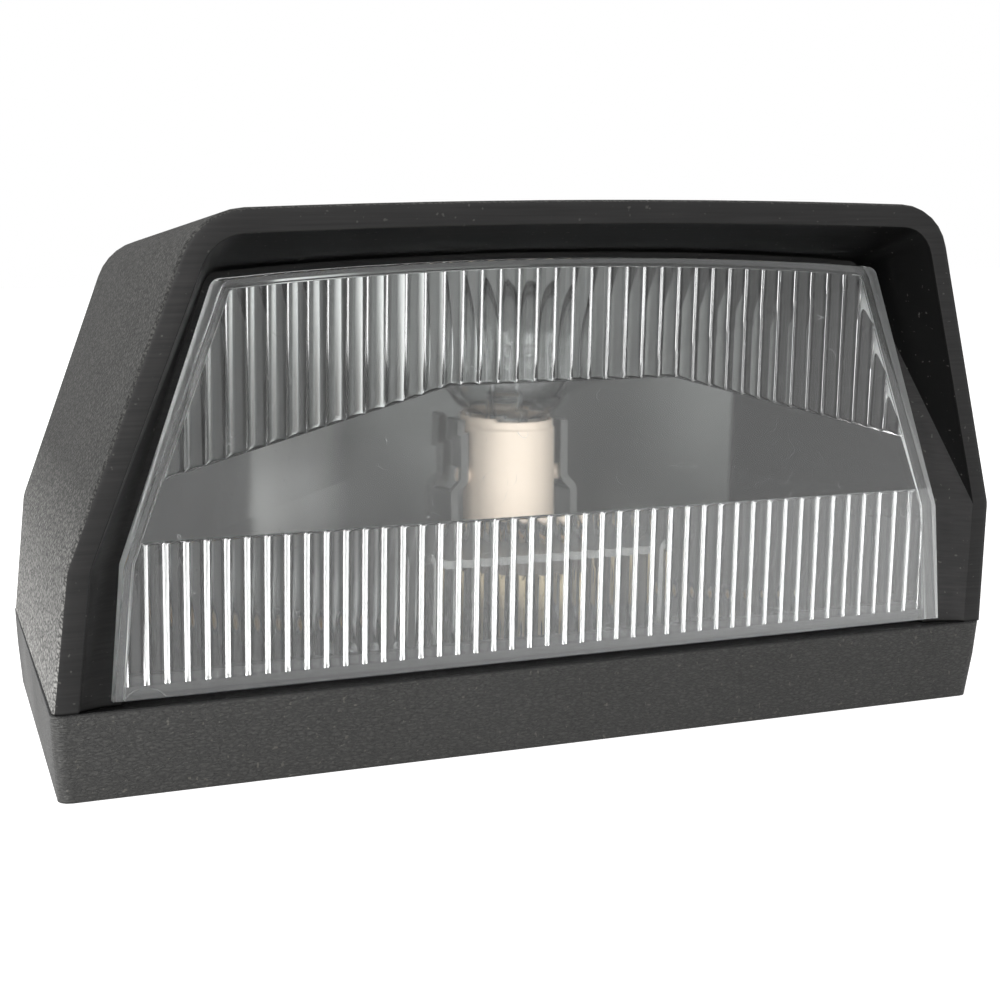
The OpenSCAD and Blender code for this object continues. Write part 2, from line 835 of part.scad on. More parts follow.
// One strip bent down, out and level on each side, with a wider plate on top
module lamp_bracket() {
    half = bracket_w / 2 - bracket_t / 2;
    foot_x = bracket_w / 2 + foot_l;
    top = bracket_z - bracket_t / 2;
    foot_z = pad_z + bracket_t / 2;
    bend_r = 1;
    wide = half - bend_r;
    corner_r = 1.5;
    front = bulb_y - bracket_d / 2;
    rear = bulb_y + bracket_d / 2;
    cut_low = bracket_z - bracket_t - cut_past;
    cut_h = bracket_t + 2 * cut_past;
    color("#aeb1b4")
        at_origin()
            difference() {
                union() {
                    translate([0, bulb_y + leg_w / 2, 0])
                        rotate([90, 0, 0])
                            linear_extrude(leg_w)
                                strip([
                                    [-foot_x, foot_z], [-half, foot_z], [-half, top],
                                    [half, top], [half, foot_z], [foot_x, foot_z]
                                ], bracket_t, bend_r);
                    translate([0, 0, bracket_z - bracket_t])
                        linear_extrude(bracket_t)
                            polygon(rounded([
                                [-wide, front], [wide, front], [wide, rear], [-wide, rear]
                            ], [corner_r, corner_r, corner_r, corner_r], 4));
                }
                translate([0, bulb_y, cut_low])
                    cylinder(h = cut_h, r = contact_hole_r, $fn = bore_fn);
                for (p = holder_rivet_places)
                    translate([p[0], p[1], cut_low])
                        cylinder(h = cut_h, r = small_rivet_hole_r, $fn = bore_fn);
                for (p = foot_places)
                    translate([p[0], p[1], pad_z - cut_past])
                        cylinder(h = cut_h, r = screw_hole_r, $fn = bore_fn);
                translate([earth_x, earth_y, cut_low])
                    cylinder(h = cut_h, r = rivet_hole_r, $fn = bore_fn);
            }
}

// A strip bent into a U with two arms beside the cap, each with a J-shaped slot for a pin
module bulb_holder() {
    base_z = bracket_z + holder_t / 2;
    top = bracket_z + holder_up;
    wide_x = arm_x + holder_step;
    step_drop = 0.7;
    step_z = pin_z - pin_d / 2 - step_drop;
    bend_r = 0.9;
    front = bulb_y - holder_d / 2 + holder_back / 2;
    slot_gap = 0.3;
    slot_w = pin_d + slot_gap;
    slot_turn = 1.9;
    slot_rise = 0.5;
    slot_l = 2 * (wide_x + holder_t);
    cut_low = bracket_z - cut_past;
    cut_h = holder_t + 2 * cut_past;
    color("#96978f")
        at_origin()
            difference() {
                translate([0, front + holder_d, 0])
                    rotate([90, 0, 0])
                        linear_extrude(holder_d)
                            strip([
                                [-arm_x, top], [-arm_x, step_z + holder_step],
                                [-wide_x, step_z], [-wide_x, base_z],
                                [wide_x, base_z], [wide_x, step_z],
                                [arm_x, step_z + holder_step], [arm_x, top]
                            ], holder_t, bend_r);
                translate([0, bulb_y, cut_low])
                    cylinder(h = cut_h, r = contact_hole_r, $fn = bore_fn);
                for (p = holder_rivet_places)
                    translate([p[0], p[1], cut_low])
                        cylinder(h = cut_h, r = small_rivet_hole_r, $fn = bore_fn);
                // down from the top behind the pin, forward, and a little way up again
                translate([-slot_l / 2, bulb_y + slot_turn - slot_w / 2, pin_z - slot_w / 2 - slot_rise])
                    cube([slot_l, slot_w, holder_up]);
                translate([-slot_l / 2, bulb_y - slot_w / 2, pin_z - slot_w / 2 - slot_rise])
                    cube([slot_l, slot_turn + slot_w, slot_w]);
                translate([-slot_l / 2, bulb_y - slot_w / 2, pin_z - slot_w / 2 - slot_rise])
                    cube([slot_l, slot_w, slot_w + slot_rise]);
            }
}

module holder_rivets() {
    color("#c8b070")
        at_origin()
            for (p = holder_rivet_places)
                translate([p[0], p[1], 0])
                    rivet(disc_low, bracket_z + holder_t, small_rivet_r, 0.4);
}

module insulating_disc() {
    color("#5b3a22")
        at_origin()
            difference() {
                translate([0, bulb_y, disc_low])
                    cylinder(h = disc_t, r = disc_r, $fn = bore_fn);
                translate([0, bulb_y, disc_low - cut_past])
                    cylinder(h = disc_t + 2 * cut_past, r = rivet_hole_r, $fn = bore_fn);
                for (p = holder_rivet_places)
                    translate([p[0], p[1], disc_low - cut_past])
                        cylinder(h = disc_t + 2 * cut_past, r = small_rivet_hole_r, $fn = bore_fn);
            }
}

// A hairpin leaf of bronze: its foot under the rivet, its upper arm against the bulb
leaf_t = 0.3;
module centre_contact() {
    leaf_w = 3.4;
    leaf_half = 2.7;
    arm_end = -1.8;
    leaf_bend = 0.4;
    foot_z = disc_low + disc_t + leaf_t / 2;
    arm_z = contact_low - leaf_t / 2;
    color("#b98a4a")
        at_origin()
            translate([-leaf_w / 2, bulb_y, 0])
                difference() {
                    rotate([90, 0, 90])
                        linear_extrude(leaf_w)
                            strip([
                                [-leaf_half, foot_z], [leaf_half, foot_z],
                                [leaf_half, arm_z], [arm_end, arm_z]
                            ], leaf_t, leaf_bend);
                    translate([leaf_w / 2, 0, disc_low])
                        cylinder(h = disc_t + 2 * leaf_t, r = rivet_hole_r, $fn = bore_fn);
                }
}

module live_terminal() {
    eye_r = 2.9;
    neck_w = 3.2;
    drop = 1.4;
    rear = 3.2;
    hole_r = 0.8;
    color("#c9a45c")
        at_origin()
            translate([0, bulb_y, 0])
                difference() {
                    union() {
                        translate([0, 0, disc_low - blade_t])
                            cylinder(h = blade_t, r = eye_r, $fn = bore_fn);
                        translate([-neck_w / 2, 0, disc_low - blade_t])
                            cube([neck_w, rear, blade_t]);
                        translate([-neck_w / 2, rear - blade_t, disc_low - drop - 0.6])
                            cube([neck_w, blade_t, drop + 0.6]);
                        translate([-blade_w / 2, rear - blade_t, disc_low - drop - blade_l])
                            cube([blade_w, blade_t, blade_l]);
                    }
                    translate([0, 0, disc_low - 2])
                        cylinder(h = 4, r = rivet_hole_r, $fn = bore_fn);
                    translate([0, rear - 3, disc_low - blade_l + 0.4])
                        rotate([-90, 0, 0])
                            cylinder(h = 6, r = hole_r, $fn = bore_fn);
                }
}

// A tubular rivet of radius r from low to high, with a head that is wider by brim at each end
module rivet(low, high, r = rivet_r, brim = 0.75) {
    end = low - rivet_head_t;
    span = high - low;
    difference() {
        union() {
            translate([0, 0, end])
                cylinder(h = span + 2 * rivet_head_t, r = r, $fn = bore_fn);
            for (z = [end, high])
                translate([0, 0, z])
                    cylinder(h = rivet_head_t, r = r + brim, $fn = bore_fn);
        }
        translate([0, 0, end - 1])
            cylinder(h = span + 4, r = r / 2, $fn = bore_fn);
    }
}

module contact_rivet() {
    color("#c8b070")
        at_origin()
            translate([0, bulb_y, 0])
                rivet(disc_low - blade_t, disc_low + disc_t + leaf_t);
}

module earth_terminal() {
    eye_l = 2.4;
    rear = 3.2;
    hole_r = 0.8;
    color("#c9a45c")
        at_origin()
            translate([earth_x, earth_y, bracket_z - bracket_t])
                difference() {
                    union() {
                        translate([-blade_w / 2, -eye_l, -blade_t])
                            cube([blade_w, eye_l + rear, blade_t]);
                        translate([-blade_w / 2, rear - blade_t, -blade_l - blade_t])
                            cube([blade_w, blade_t, blade_l + blade_t]);
                    }
                    translate([0, 0, -2])
                        cylinder(h = 4, r = rivet_hole_r, $fn = bore_fn);
                    translate([0, 0, -blade_l + 2])
                        rotate([-90, 0, 0])
                            cylinder(h = 6, r = hole_r, $fn = bore_fn);
                }
}

module earth_rivet() {
    color("#c8b070")
        at_origin()
            translate([earth_x, earth_y, 0])
                rivet(bracket_z - bracket_t - blade_t, bracket_z);
}

// The cap is drawn tube: closed in at its lower end, necked a little at its rim
module bulb_cap() {
    r = cap_d / 2;
    wall = 0.3;
    neck = 0.15;
    hole_r = 2.6;
    pin_root = 0.25;
    color("#c6a873")
        at_origin()
            translate([0, bulb_y, 0]) {
                rotate_extrude($fn = bore_fn)
                    polygon([
                        [r - wall, cap_low + 0.6],
                        [hole_r, cap_low - 0.1],
                        [hole_r, cap_low - 0.4],
                        [r - 0.5, cap_low],
                        [r, cap_low + 0.5],
                        [r, rim_of_cap - 0.9],
                        [r - neck, rim_of_cap - 0.7],
                        [r - neck, rim_of_cap],
                        [r - neck - wall, rim_of_cap],
                        [r - neck - wall, rim_of_cap - 0.8],
                        [r - wall, rim_of_cap - 1]
                    ]);
                for (a = [0, 180])
                    rotate([0, 0, a])
                        translate([r - pin_root, 0, pin_z])
                            rotate([0, 90, 0])
                                cylinder(h = pin_span / 2 - r + pin_root, d = pin_d, $fn = bore_fn);
            }
}

module bulb_insulator() {
    color("#161616")
        at_origin()
            translate([0, bulb_y, 0])
                rotate_extrude($fn = bore_fn)
                    polygon([
                        [0, cap_low + 1.2],
                        [2.3, cap_low + 1.2],
                        [2.5, cap_low - 0.1],
                        [2.5, cap_low - 0.6],
                        [1.9, cap_tip],
                        [0, cap_tip]
                    ]);
}

module bulb_contact() {
    color("#b9bbbd")
        at_origin()
            translate([0, bulb_y, 0])
                rotate_extrude($fn = bore_fn)
                    polygon([
                        [0, contact_low],
                        [0.9, contact_low],
                        [1.5, contact_low + 0.3],
                        [1.6, cap_tip],
                        [0, cap_tip]
                    ]);
}

// The globe is one blown piece: a sphere on a short neck that stands in the cap
function globe_side(r, neck) =
    let (low = -asin(sqrt(1 - pow(neck / r, 2))))
    [for (i = [0:12]) let (a = low + (90 - low) * i / 12) [r * cos(a), globe_z + r * sin(a)]];
module bulb_glass() {
    inner_neck_r = neck_r - glass_t;
    inner = globe_side(globe_r - glass_t, inner_neck_r);
    color("#dfe6e8", 0.35)
        at_origin()
            translate([0, bulb_y, 0])
                rotate_extrude($fn = bore_fn)
                    polygon(concat(
                        [[neck_r, neck_low]],
                        globe_side(globe_r, neck_r),
                        [for (i = [12:-1:0]) inner[i]],
                        [[inner_neck_r, neck_low]]
                    ));
}

// Each lead is straight and spreads from the stem to the filament's end
module lead(side, r) {
    rise = filament_z - lead_low;
    run = lead_top_x - lead_low_x;
    translate([side * lead_low_x, 0, lead_low])
        rotate([0, side * atan(run / rise), 0])
            cylinder(h = norm([run, rise]), r = r, $fn = bore_fn);
}

module bulb_stem() {
    foot_r = neck_r - glass_t - seat_gap;
    stem_r = 1.9;
    color("#d5dcde", 0.5)
        at_origin()
            translate([0, bulb_y, 0])
                difference() {
                    rotate_extrude($fn = bore_fn)
                        polygon([
                            [0, neck_low],
                            [foot_r, neck_low],
                            [foot_r, neck_low + 0.6],
                            [stem_r, neck_low + 1.8],
                            [stem_r, stem_top - 0.4],
                            [stem_r - 0.4, stem_top],
                            [0, stem_top]
                        ]);
                    for (side = [-1, 1])
                        lead(side, lead_r + seat_gap);
                }
}

module bulb_leads() {
    color("#9a9c9e")
        at_origin()
            translate([0, bulb_y, 0])
                for (side = [-1, 1])
                    lead(side, lead_r);
}

// A coiled wire along x, swept through turns with flat-sided rings
function coil_point(t, j, r, wire, length, turns, sides) =
    let (
        a = 360 * turns * t,
        b = 360 * j / sides,
        ring = r + wire * cos(b)
    )
    [length * (t - 0.5) + wire * sin(b), ring * cos(a), ring * sin(a)];
module coil(r, wire, length, turns, rings, sides) {
    polyhedron(
        points = [
            for (i = [0:rings])
                for (j = [0:sides - 1])
                    coil_point(i / rings, j, r, wire, length, turns, sides)
        ],
        faces = [
            [for (j = [0:sides - 1]) sides - 1 - j],
            for (i = [0:rings - 1])
                for (j = [0:sides - 1])
                    let (a = i * sides + j, b = i * sides + (j + 1) % sides)
                    each [[a, b, b + sides], [a, b + sides, a + sides]],
            [for (j = [0:sides - 1]) rings * sides + j]
        ]
    );
}

module filament() {
    color("#7d7f80")
        at_origin()
            translate([0, bulb_y, filament_z])
                coil(
                    r = 0.42, wire = 0.13, length = filament_l,
                    turns = 7, rings = 56, sides = 4
                );
}

base_gasket();
base_plate();
mount_inserts();
cable_grommet();
hood();
hood_screws();
lens();
lens_seal();
reflector();
reflector_screws();
lamp_bracket();
bracket_screws();
bulb_holder();
holder_rivets();
insulating_disc();
centre_contact();
live_terminal();
contact_rivet();
earth_terminal();
earth_rivet();
bulb_cap();
bulb_insulator();
bulb_contact();
bulb_glass();
bulb_stem();
bulb_leads();
filament();
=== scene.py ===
"""Number plate lamp: fine lens and globe, materials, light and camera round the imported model."""
import json
import math

import bmesh
import bpy
from mathutils import Matrix, Vector


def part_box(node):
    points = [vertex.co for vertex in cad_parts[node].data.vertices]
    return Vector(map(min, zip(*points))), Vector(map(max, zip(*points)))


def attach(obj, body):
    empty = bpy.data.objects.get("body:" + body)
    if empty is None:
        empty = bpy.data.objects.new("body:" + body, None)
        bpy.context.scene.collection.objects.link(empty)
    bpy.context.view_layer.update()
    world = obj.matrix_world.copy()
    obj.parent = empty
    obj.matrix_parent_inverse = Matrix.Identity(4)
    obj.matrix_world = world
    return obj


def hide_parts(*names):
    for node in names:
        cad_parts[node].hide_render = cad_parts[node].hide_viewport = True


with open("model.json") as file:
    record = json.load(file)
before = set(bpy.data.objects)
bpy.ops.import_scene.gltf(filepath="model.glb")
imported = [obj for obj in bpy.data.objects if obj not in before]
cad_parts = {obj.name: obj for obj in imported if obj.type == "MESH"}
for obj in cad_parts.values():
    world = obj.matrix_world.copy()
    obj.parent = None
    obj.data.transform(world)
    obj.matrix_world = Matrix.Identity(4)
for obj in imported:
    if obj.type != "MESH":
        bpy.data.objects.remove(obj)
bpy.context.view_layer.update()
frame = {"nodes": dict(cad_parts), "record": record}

MM = 0.001
NODES = frame["nodes"]

# Sizes in millimetres, and a tilt in radians, that the solids have too
SEAM_Z = 8.7
LENS_W = 92.4
LENS_BEND_W = 90.0
LENS_TOP_W = 70.8
LENS_LOW = 0.7
LENS_BEND = 13.5
LENS_TOP = 39.6
LENS_ARCH = 1.4
LENS_CORNER_R = 1.2
LENS_TILT = math.radians(4)
LENS_Y = 0.2
LENS_BACK = 1.3
LENS_WALL = 1.3
LENS_TOP_WALL = 0.9
FIELD_T = 1.8
FLUTE_PITCH = 1.97
FLUTE_SHIFT = -0.4
FLUTE_RISE = 0.1
FLUTE_LOW = 1.2
HIGH_FLUTE_H = 0.35
LOW_BAND = 15.35
HIGH_BAND = 28.7
HIGH_BAND_END = 21.1
HIGH_BAND_FLAT = 24.6
HIGH_BAND_W = 82.0
GLASS_T = 0.6
GLOBE_NECK_R = 3.975
CAP_R = 4.625
CAP_NECK = 0.15
CAP_HOLE_R = 2.6
CAP_FOOT_SINK = 0.4
PIN_R = 0.8
PIN_UP = 4.9
STEM_R = 1.9

# Sizes of the finer shapes in millimetres, and SOFT_STEP, a share of LENS_SOFT
LOW_FLUTE_H = 0.66
FLUTE_GAP = 0.1
FLUTE_END_R = 0.45
FLUTE_SUNK = 0.02
FLUTE_BED = 0.6
FIELD_SET = 0.3
CLIP_FRONT = 0.5
HAIR = 0.02
GAP = 0.003
LENS_SOFT = 0.15
SOFT_STEP = 0.3
MARK_R = 2.5
MARK_LINE = 0.07
MARK_U = -43.2
MARK_V = -0.7
GLOBE_BLEND = 0.7
CAP_WALL = 0.3
CAP_FOOT_R = 0.5
CAP_NECK_LOW = 1.0
CAP_NECK_HIGH = 0.68
CAP_NECK_TURN = 0.1
CAP_NECK_EASE = 0.03
PIN_SUNK = 0.25
PIN_SOFT = 0.15
STEM_BEAD_R = 0.7
STEM_RIM = 0.5
STEM_FLARE = 1.5
LEAD_BORE_R = 0.25
LEAD_LOW_X = 0.6
LEAD_RUN = 1.4
LEAD_RISE = 9.6
LEAD_FOOT = 0.2
LEAD_ROD_L = 8

# The lamp's front line at the seam, in the frame
FRONT_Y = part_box("base_gasket")[0].y / MM


def mesh_object(name, verts, faces):
    """A new object from points in millimetres in the lamp's frame."""
    mesh = bpy.data.meshes.new(name)
    mesh.from_pydata([Vector(v) * MM for v in verts], [], faces)
    mesh.update()
    obj = bpy.data.objects.new(name, mesh)
    bpy.context.scene.collection.objects.link(obj)
    return obj


def face_outwards(obj):
    """Turn every face of a closed mesh outwards."""
    bm = bmesh.new()
    bm.from_mesh(obj.data)
    bmesh.ops.recalc_face_normals(bm, faces=bm.faces)
    bm.to_mesh(obj.data)
    bm.free()


def shade(obj, angle=30):
    """Smooth shading with edges sharper than the angle kept."""
    obj.data.polygons.foreach_set("use_smooth", [True] * len(obj.data.polygons))
    obj.data.set_sharp_from_angle(angle=math.radians(angle))


def combine(name, base, others, operation):
    """One closed object from a closed one and others: their union, difference or intersection."""
    for other in others:
        step = base.modifiers.new("combine", "BOOLEAN")
        step.operation = operation
        step.solver = "MANIFOLD"
        step.object = other
    bpy.context.view_layer.update()
    seen = base.evaluated_get(bpy.context.evaluated_depsgraph_get())
    mesh = bpy.data.meshes.new_from_object(seen)
    mesh.name = name
    obj = bpy.data.objects.new(name, mesh)
    bpy.context.scene.collection.objects.link(obj)
    for part in [base, *others]:
        bpy.data.objects.remove(part)
    return obj


def lathe(name, profile, turns, centre, across=False):
    """A closed surface of revolution from (radius, along) points, about z, or about x if across."""
    verts = []
    faces = []
    rings = []
    for r, along in profile:
        count = 1 if r < 1e-6 else turns
        rings.append(list(range(len(verts), len(verts) + count)))
        for k in range(count):
            a = 2 * math.pi * k / turns
            if across:
                verts.append((along, centre[0] + r * math.cos(a), centre[1] + r * math.sin(a)))
            else:
                verts.append((centre[0] + r * math.cos(a), centre[1] + r * math.sin(a), along))
    for low, high in zip(rings, rings[1:] + rings[:1]):
        if len(low) == 1 and len(high) == 1:
            continue
        for k in range(turns):
            n = (k + 1) % turns
            if len(low) == 1:
                faces.append((low[0], high[n], high[k]))
            elif len(high) == 1:
                faces.append((low[k], low[n], high[0]))
            else:
                faces.append((low[k], low[n], high[n], high[k]))
    obj = mesh_object(name, verts, faces)
    face_outwards(obj)
    return obj


# Lens


def in_lens_plane(u, v, depth):
    """The point in the frame of a point across, along and behind the lens's own front face."""
    y = depth * math.cos(LENS_TILT) - v * math.sin(LENS_TILT)
    z = depth * math.sin(LENS_TILT) + v * math.cos(LENS_TILT)
    return (u, FRONT_Y + LENS_Y + y, SEAM_Z + z)


def face_depth(height, behind=0.0):
    """Depth of the leaning front face at a height above the seam, or of a plane behind it."""
    return LENS_Y + behind / math.cos(LENS_TILT) - height * math.tan(LENS_TILT)


SIDE_LEAN = (LENS_BEND_W - LENS_TOP_W) / 2 / (LENS_TOP - LENS_BEND)
SIDE_STEEP = math.hypot(1, SIDE_LEAN)
FOOT_LEAN = (LENS_W - LENS_BEND_W) / 2 / (LENS_BEND - LENS_LOW)


def corner(a, b, c, r, steps):
    """Points that round the corner b between a and c."""
    a, b, c = Vector(a), Vector(b), Vector(c)
    u = (a - b).normalized()
    w = (c - b).normalized()
    half = u.angle(w) / 2
    centre = b + (u + w).normalized() * r / math.sin(half)
    start = b + u * r / math.tan(half) - centre
    sign = 1 if u.x * w.y - u.y * w.x > 0 else -1
    turn = -sign * (math.pi - 2 * half)
    return [centre + Matrix.Rotation(turn * k / steps, 2) @ start for k in range(steps + 1)]


def lens_outline(side, top, low):
    """The lens from the front as (across, height) points, set in at its sides and top."""
    roof = LENS_TOP - top
    top_u = LENS_TOP_W / 2 + top * SIDE_LEAN - side * SIDE_STEEP
    bend_u = LENS_BEND_W / 2 - side
    low_u = LENS_W / 2 - side + (LENS_LOW - low) * FOOT_LEAN
    r = max(LENS_CORNER_R - side / 2, 0.5)
    peak = (0, roof + LENS_ARCH / 2)
    right = [(low_u, low), (bend_u, LENS_BEND)]
    right += [tuple(p) for p in corner((bend_u, LENS_BEND), (top_u, roof), peak, r, 6)]
    arch = []
    for k in range(10, -11, -1):
        arch.append((k / 12 * top_u, roof + LENS_ARCH * (1 - (k / 12) ** 2)))
    left = [(-u, v) for u, v in reversed(right)]
    return right + arch + left


def level_solid(name, rings):
    """A closed solid through outlines of equal length, given as (outline, depth by height)."""
    n = len(rings[0][0])
    verts = []
    for outline, depth in rings:
        verts += [(u, FRONT_Y + depth(v), SEAM_Z + v) for u, v in outline]
    faces = [tuple(range(n)), tuple(reversed(range((len(rings) - 1) * n, len(rings) * n)))]
    for k in range(len(rings) - 1):
        for i in range(n):
            j = (i + 1) % n
            faces.append((k * n + i, k * n + j, (k + 1) * n + j, (k + 1) * n + i))
    obj = mesh_object(name, verts, faces)
    face_outwards(obj)
    return obj


def flute_columns(h, reach):
    """Places across the lens with the flutes' height there, closer where they are steep."""
    per_flute = 16
    r = (FLUTE_PITCH ** 2 / 4 + h * h) / (2 * h)
    widest = math.asin(FLUTE_PITCH / 2 / r)
    last = math.ceil(reach / FLUTE_PITCH) + 1
    columns = []
    for i in range(-last, last + 1):
        middle = i * FLUTE_PITCH + FLUTE_SHIFT
        for k in range(per_flute):
            a = widest * (2 * k / per_flute - 1)
            columns.append((middle + r * math.sin(a), h - r + r * math.cos(a)))
    return columns


def flute_rows(low, high, round_low, round_high, radius):
    """Heights from low to high, each with its share of the flute's own height, for rounded ends."""
    steps = 6
    turn = [math.radians(90 * k / steps) for k in range(steps + 1)]
    if round_low:
        foot = [(low + radius * (1 - math.cos(a)), math.sin(a)) for a in turn]
    else:
        foot = [(low + radius * k / steps, 1) for k in range(steps + 1)]
    if round_high:
        head = [(high - radius * (1 - math.cos(a)), math.sin(a)) for a in reversed(turn)]
    else:
        head = [(high - radius * (1 - k / steps), 1) for k in range(steps + 1)]
    return foot + head


def flute_band(name, h, low_edge, high_edge, round_low, round_high):
    """A closed slab with a fluted back between two edges, cut to the clear field."""
    grid = []
    for u, rise in flute_columns(h, LENS_W / 2):
        column = []
        rows = flute_rows(low_edge(u), high_edge(u), round_low, round_high, FLUTE_END_R)
        for v, share in rows:
            height = (FLUTE_RISE + FLUTE_SUNK + rise) * share
            column.append((u, v, FIELD_T - FLUTE_SUNK + height))
        grid.append(column)
    verts = [in_lens_plane(*p) for column in grid for p in column]
    count = len(grid[0])
    faces = []
    for i in range(len(grid) - 1):
        for j in range(count - 1):
            a = i * count + j
            faces.append((a, a + 1, a + count + 1, a + count))
    border = [i * count for i in range(len(grid))]
    border += [(len(grid) - 1) * count + j for j in range(1, count)]
    border += [i * count + count - 1 for i in range(len(grid) - 2, -1, -1)]
    border += list(range(count - 2, 0, -1))
    base = len(verts)
    flat = [p for column in grid for p in column]
    verts += [in_lens_plane(flat[i][0], flat[i][1], FIELD_T - FLUTE_BED) for i in border]
    n = len(border)
    faces.append(tuple(range(base, base + n)))
    for k in range(n):
        m = (k + 1) % n
        faces.append((border[k], border[m], base + m, base + k))
    slab = mesh_object(name, verts, faces)
    face_outwards(slab)
    limit = lens_outline(LENS_WALL + FLUTE_GAP, LENS_TOP_WALL + FLUTE_GAP, LENS_LOW + FLUTE_LOW)
    clip = level_solid("clip", [
        (limit, lambda v: face_depth(v, CLIP_FRONT)),
        (limit, lambda v: 2 * FIELD_T),
    ])
    return combine(name, slab, [clip], "INTERSECT")


def low_band_top(u):
    return LOW_BAND


def low_band_foot(u):
    return LENS_LOW


def high_band_foot(u):
    flat = HIGH_BAND_FLAT / 2
    slope = (HIGH_BAND - HIGH_BAND_END) / (HIGH_BAND_W / 2 - flat)
    return HIGH_BAND - max(abs(u) - flat, 0) * slope


def high_band_top(u):
    return LENS_TOP + 3


def ejector_mark():
    """A ring to cut a fine round line into the front face, at the lens's lower left corner."""
    turn = [math.radians(60 * k) for k in range(6)]
    section = [(MARK_R + MARK_LINE * math.cos(a), MARK_LINE * math.sin(a)) for a in turn]
    ring = lathe("ejector_mark", section, 96, (0, 0))
    stand_up = Matrix.Rotation(math.radians(90) - LENS_TILT, 4, "X")
    spot = Matrix.Translation(Vector(in_lens_plane(MARK_U, MARK_V, 0)) * MM)
    ring.data.transform(spot @ stand_up)
    return ring


def make_lens():
    """The clear tray: a leaning front, level walls, a field and two fluted bands behind it."""
    soft = LENS_SOFT
    eased = LENS_SOFT * SOFT_STEP
    inner = lens_outline(LENS_WALL, LENS_TOP_WALL, LENS_LOW + HAIR)
    shell = level_solid("lens_shell", [
        (lens_outline(soft, soft, LENS_LOW + soft), lambda v: face_depth(v)),
        (lens_outline(eased, eased, LENS_LOW + eased), lambda v: face_depth(v, eased)),
        (lens_outline(0, 0, LENS_LOW), lambda v: face_depth(v, soft)),
        (lens_outline(0, 0, LENS_LOW), lambda v: LENS_BACK - HAIR),
    ])
    field = level_solid("lens_field", [
        (inner, lambda v: face_depth(v, FIELD_SET)),
        (inner, lambda v: face_depth(v, FIELD_T)),
    ])
    hollow = level_solid("lens_hollow", [
        (inner, lambda v: face_depth(v, FIELD_T) + GAP),
        (inner, lambda v: LENS_BACK + 2 * FIELD_T),
    ])
    low = flute_band("low_flutes", LOW_FLUTE_H, low_band_foot, low_band_top, False, True)
    high = flute_band("high_flutes", HIGH_FLUTE_H, high_band_foot, high_band_top, True, False)
    solid = combine("lens_solid", shell, [field], "UNION")
    tray = combine("lens_tray", solid, [hollow], "DIFFERENCE")
    fluted = combine("lens_fluted", tray, [low, high], "UNION")
    lens = combine("lens_clear", fluted, [ejector_mark()], "DIFFERENCE")
    shade(lens, 34)
    return lens


# Bulb


def bulb_axis():
    """Where the bulb stands, as (across, depth) in millimetres."""
    low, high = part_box("bulb_glass")
    return ((low.x + high.x) / 2 / MM, (low.y + high.y) / 2 / MM)


def arc(r, z, radius, first, last, steps=6):
    """Points of an arc in a profile, about (r, z), between two angles in degrees."""
    turn = [math.radians(first + (last - first) * k / steps) for k in range(steps + 1)]
    return [(r + radius * math.cos(a), z + radius * math.sin(a)) for a in turn]


def make_cap():
    """The drawn brass shell with its necked rim and rolled foot, and its two bayonet pins."""
    low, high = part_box("bulb_cap")
    rim = high.z / MM
    foot = low.z / MM + CAP_FOOT_SINK
    neck_r = CAP_R - CAP_NECK
    roll = CAP_WALL / 2
    end_z = foot - CAP_FOOT_SINK
    profile = [(CAP_HOLE_R, end_z + CAP_WALL), (CAP_HOLE_R, end_z)]
    profile += arc(CAP_R - CAP_FOOT_R, foot + CAP_FOOT_R, CAP_FOOT_R, -90, 0)
    profile += [
        (CAP_R, rim - CAP_NECK_LOW),
        (CAP_R - CAP_NECK_EASE, rim - CAP_NECK_LOW + CAP_NECK_TURN),
        (neck_r + CAP_NECK_EASE, rim - CAP_NECK_HIGH - CAP_NECK_TURN),
        (neck_r, rim - CAP_NECK_HIGH),
    ]
    profile += arc(neck_r - roll, rim - roll, roll, 0, 180)
    profile += [
        (neck_r - CAP_WALL, rim - CAP_NECK_LOW + 2 * CAP_NECK_TURN),
        (CAP_R - CAP_WALL, rim - CAP_NECK_LOW),
        (CAP_R - CAP_WALL, foot + 2 * CAP_WALL),
    ]
    shell = lathe("cap_shell", profile, 128, bulb_axis())
    pins = []
    end = high.x / MM
    root = CAP_R - PIN_SUNK
    tip = reversed(arc(end - PIN_SOFT, PIN_R - PIN_SOFT, PIN_SOFT, 0, 90, 4))
    line = [(0, root), (PIN_R, root), *[(r, x) for x, r in tip], (0, end)]
    for side in (-1, 1):
        pin_line = [(r, side * x) for r, x in line]
        spot = (bulb_axis()[1], foot + PIN_UP)
        pins.append(lathe("cap_pin", pin_line, 40, spot, across=True))
    cap = combine("bulb_cap_drawn", shell, pins, "UNION")
    shade(cap, 32)
    return cap


def lead_bore(side, stem_foot):
    """A rod a little thicker than a lead and in its place, to cut the lead's bore into the stem."""
    line = [(0, 0), (LEAD_BORE_R, 0), (LEAD_BORE_R, LEAD_ROD_L), (0, LEAD_ROD_L)]
    rod = lathe("lead_bore", line, 24, (0, 0))
    spot = Vector((side * LEAD_LOW_X, bulb_axis()[1], stem_foot + LEAD_FOOT)) * MM
    lean = Matrix.Rotation(side * math.atan(LEAD_RUN / LEAD_RISE), 4, "Y")
    rod.data.transform(Matrix.Translation(spot) @ lean)
    return rod


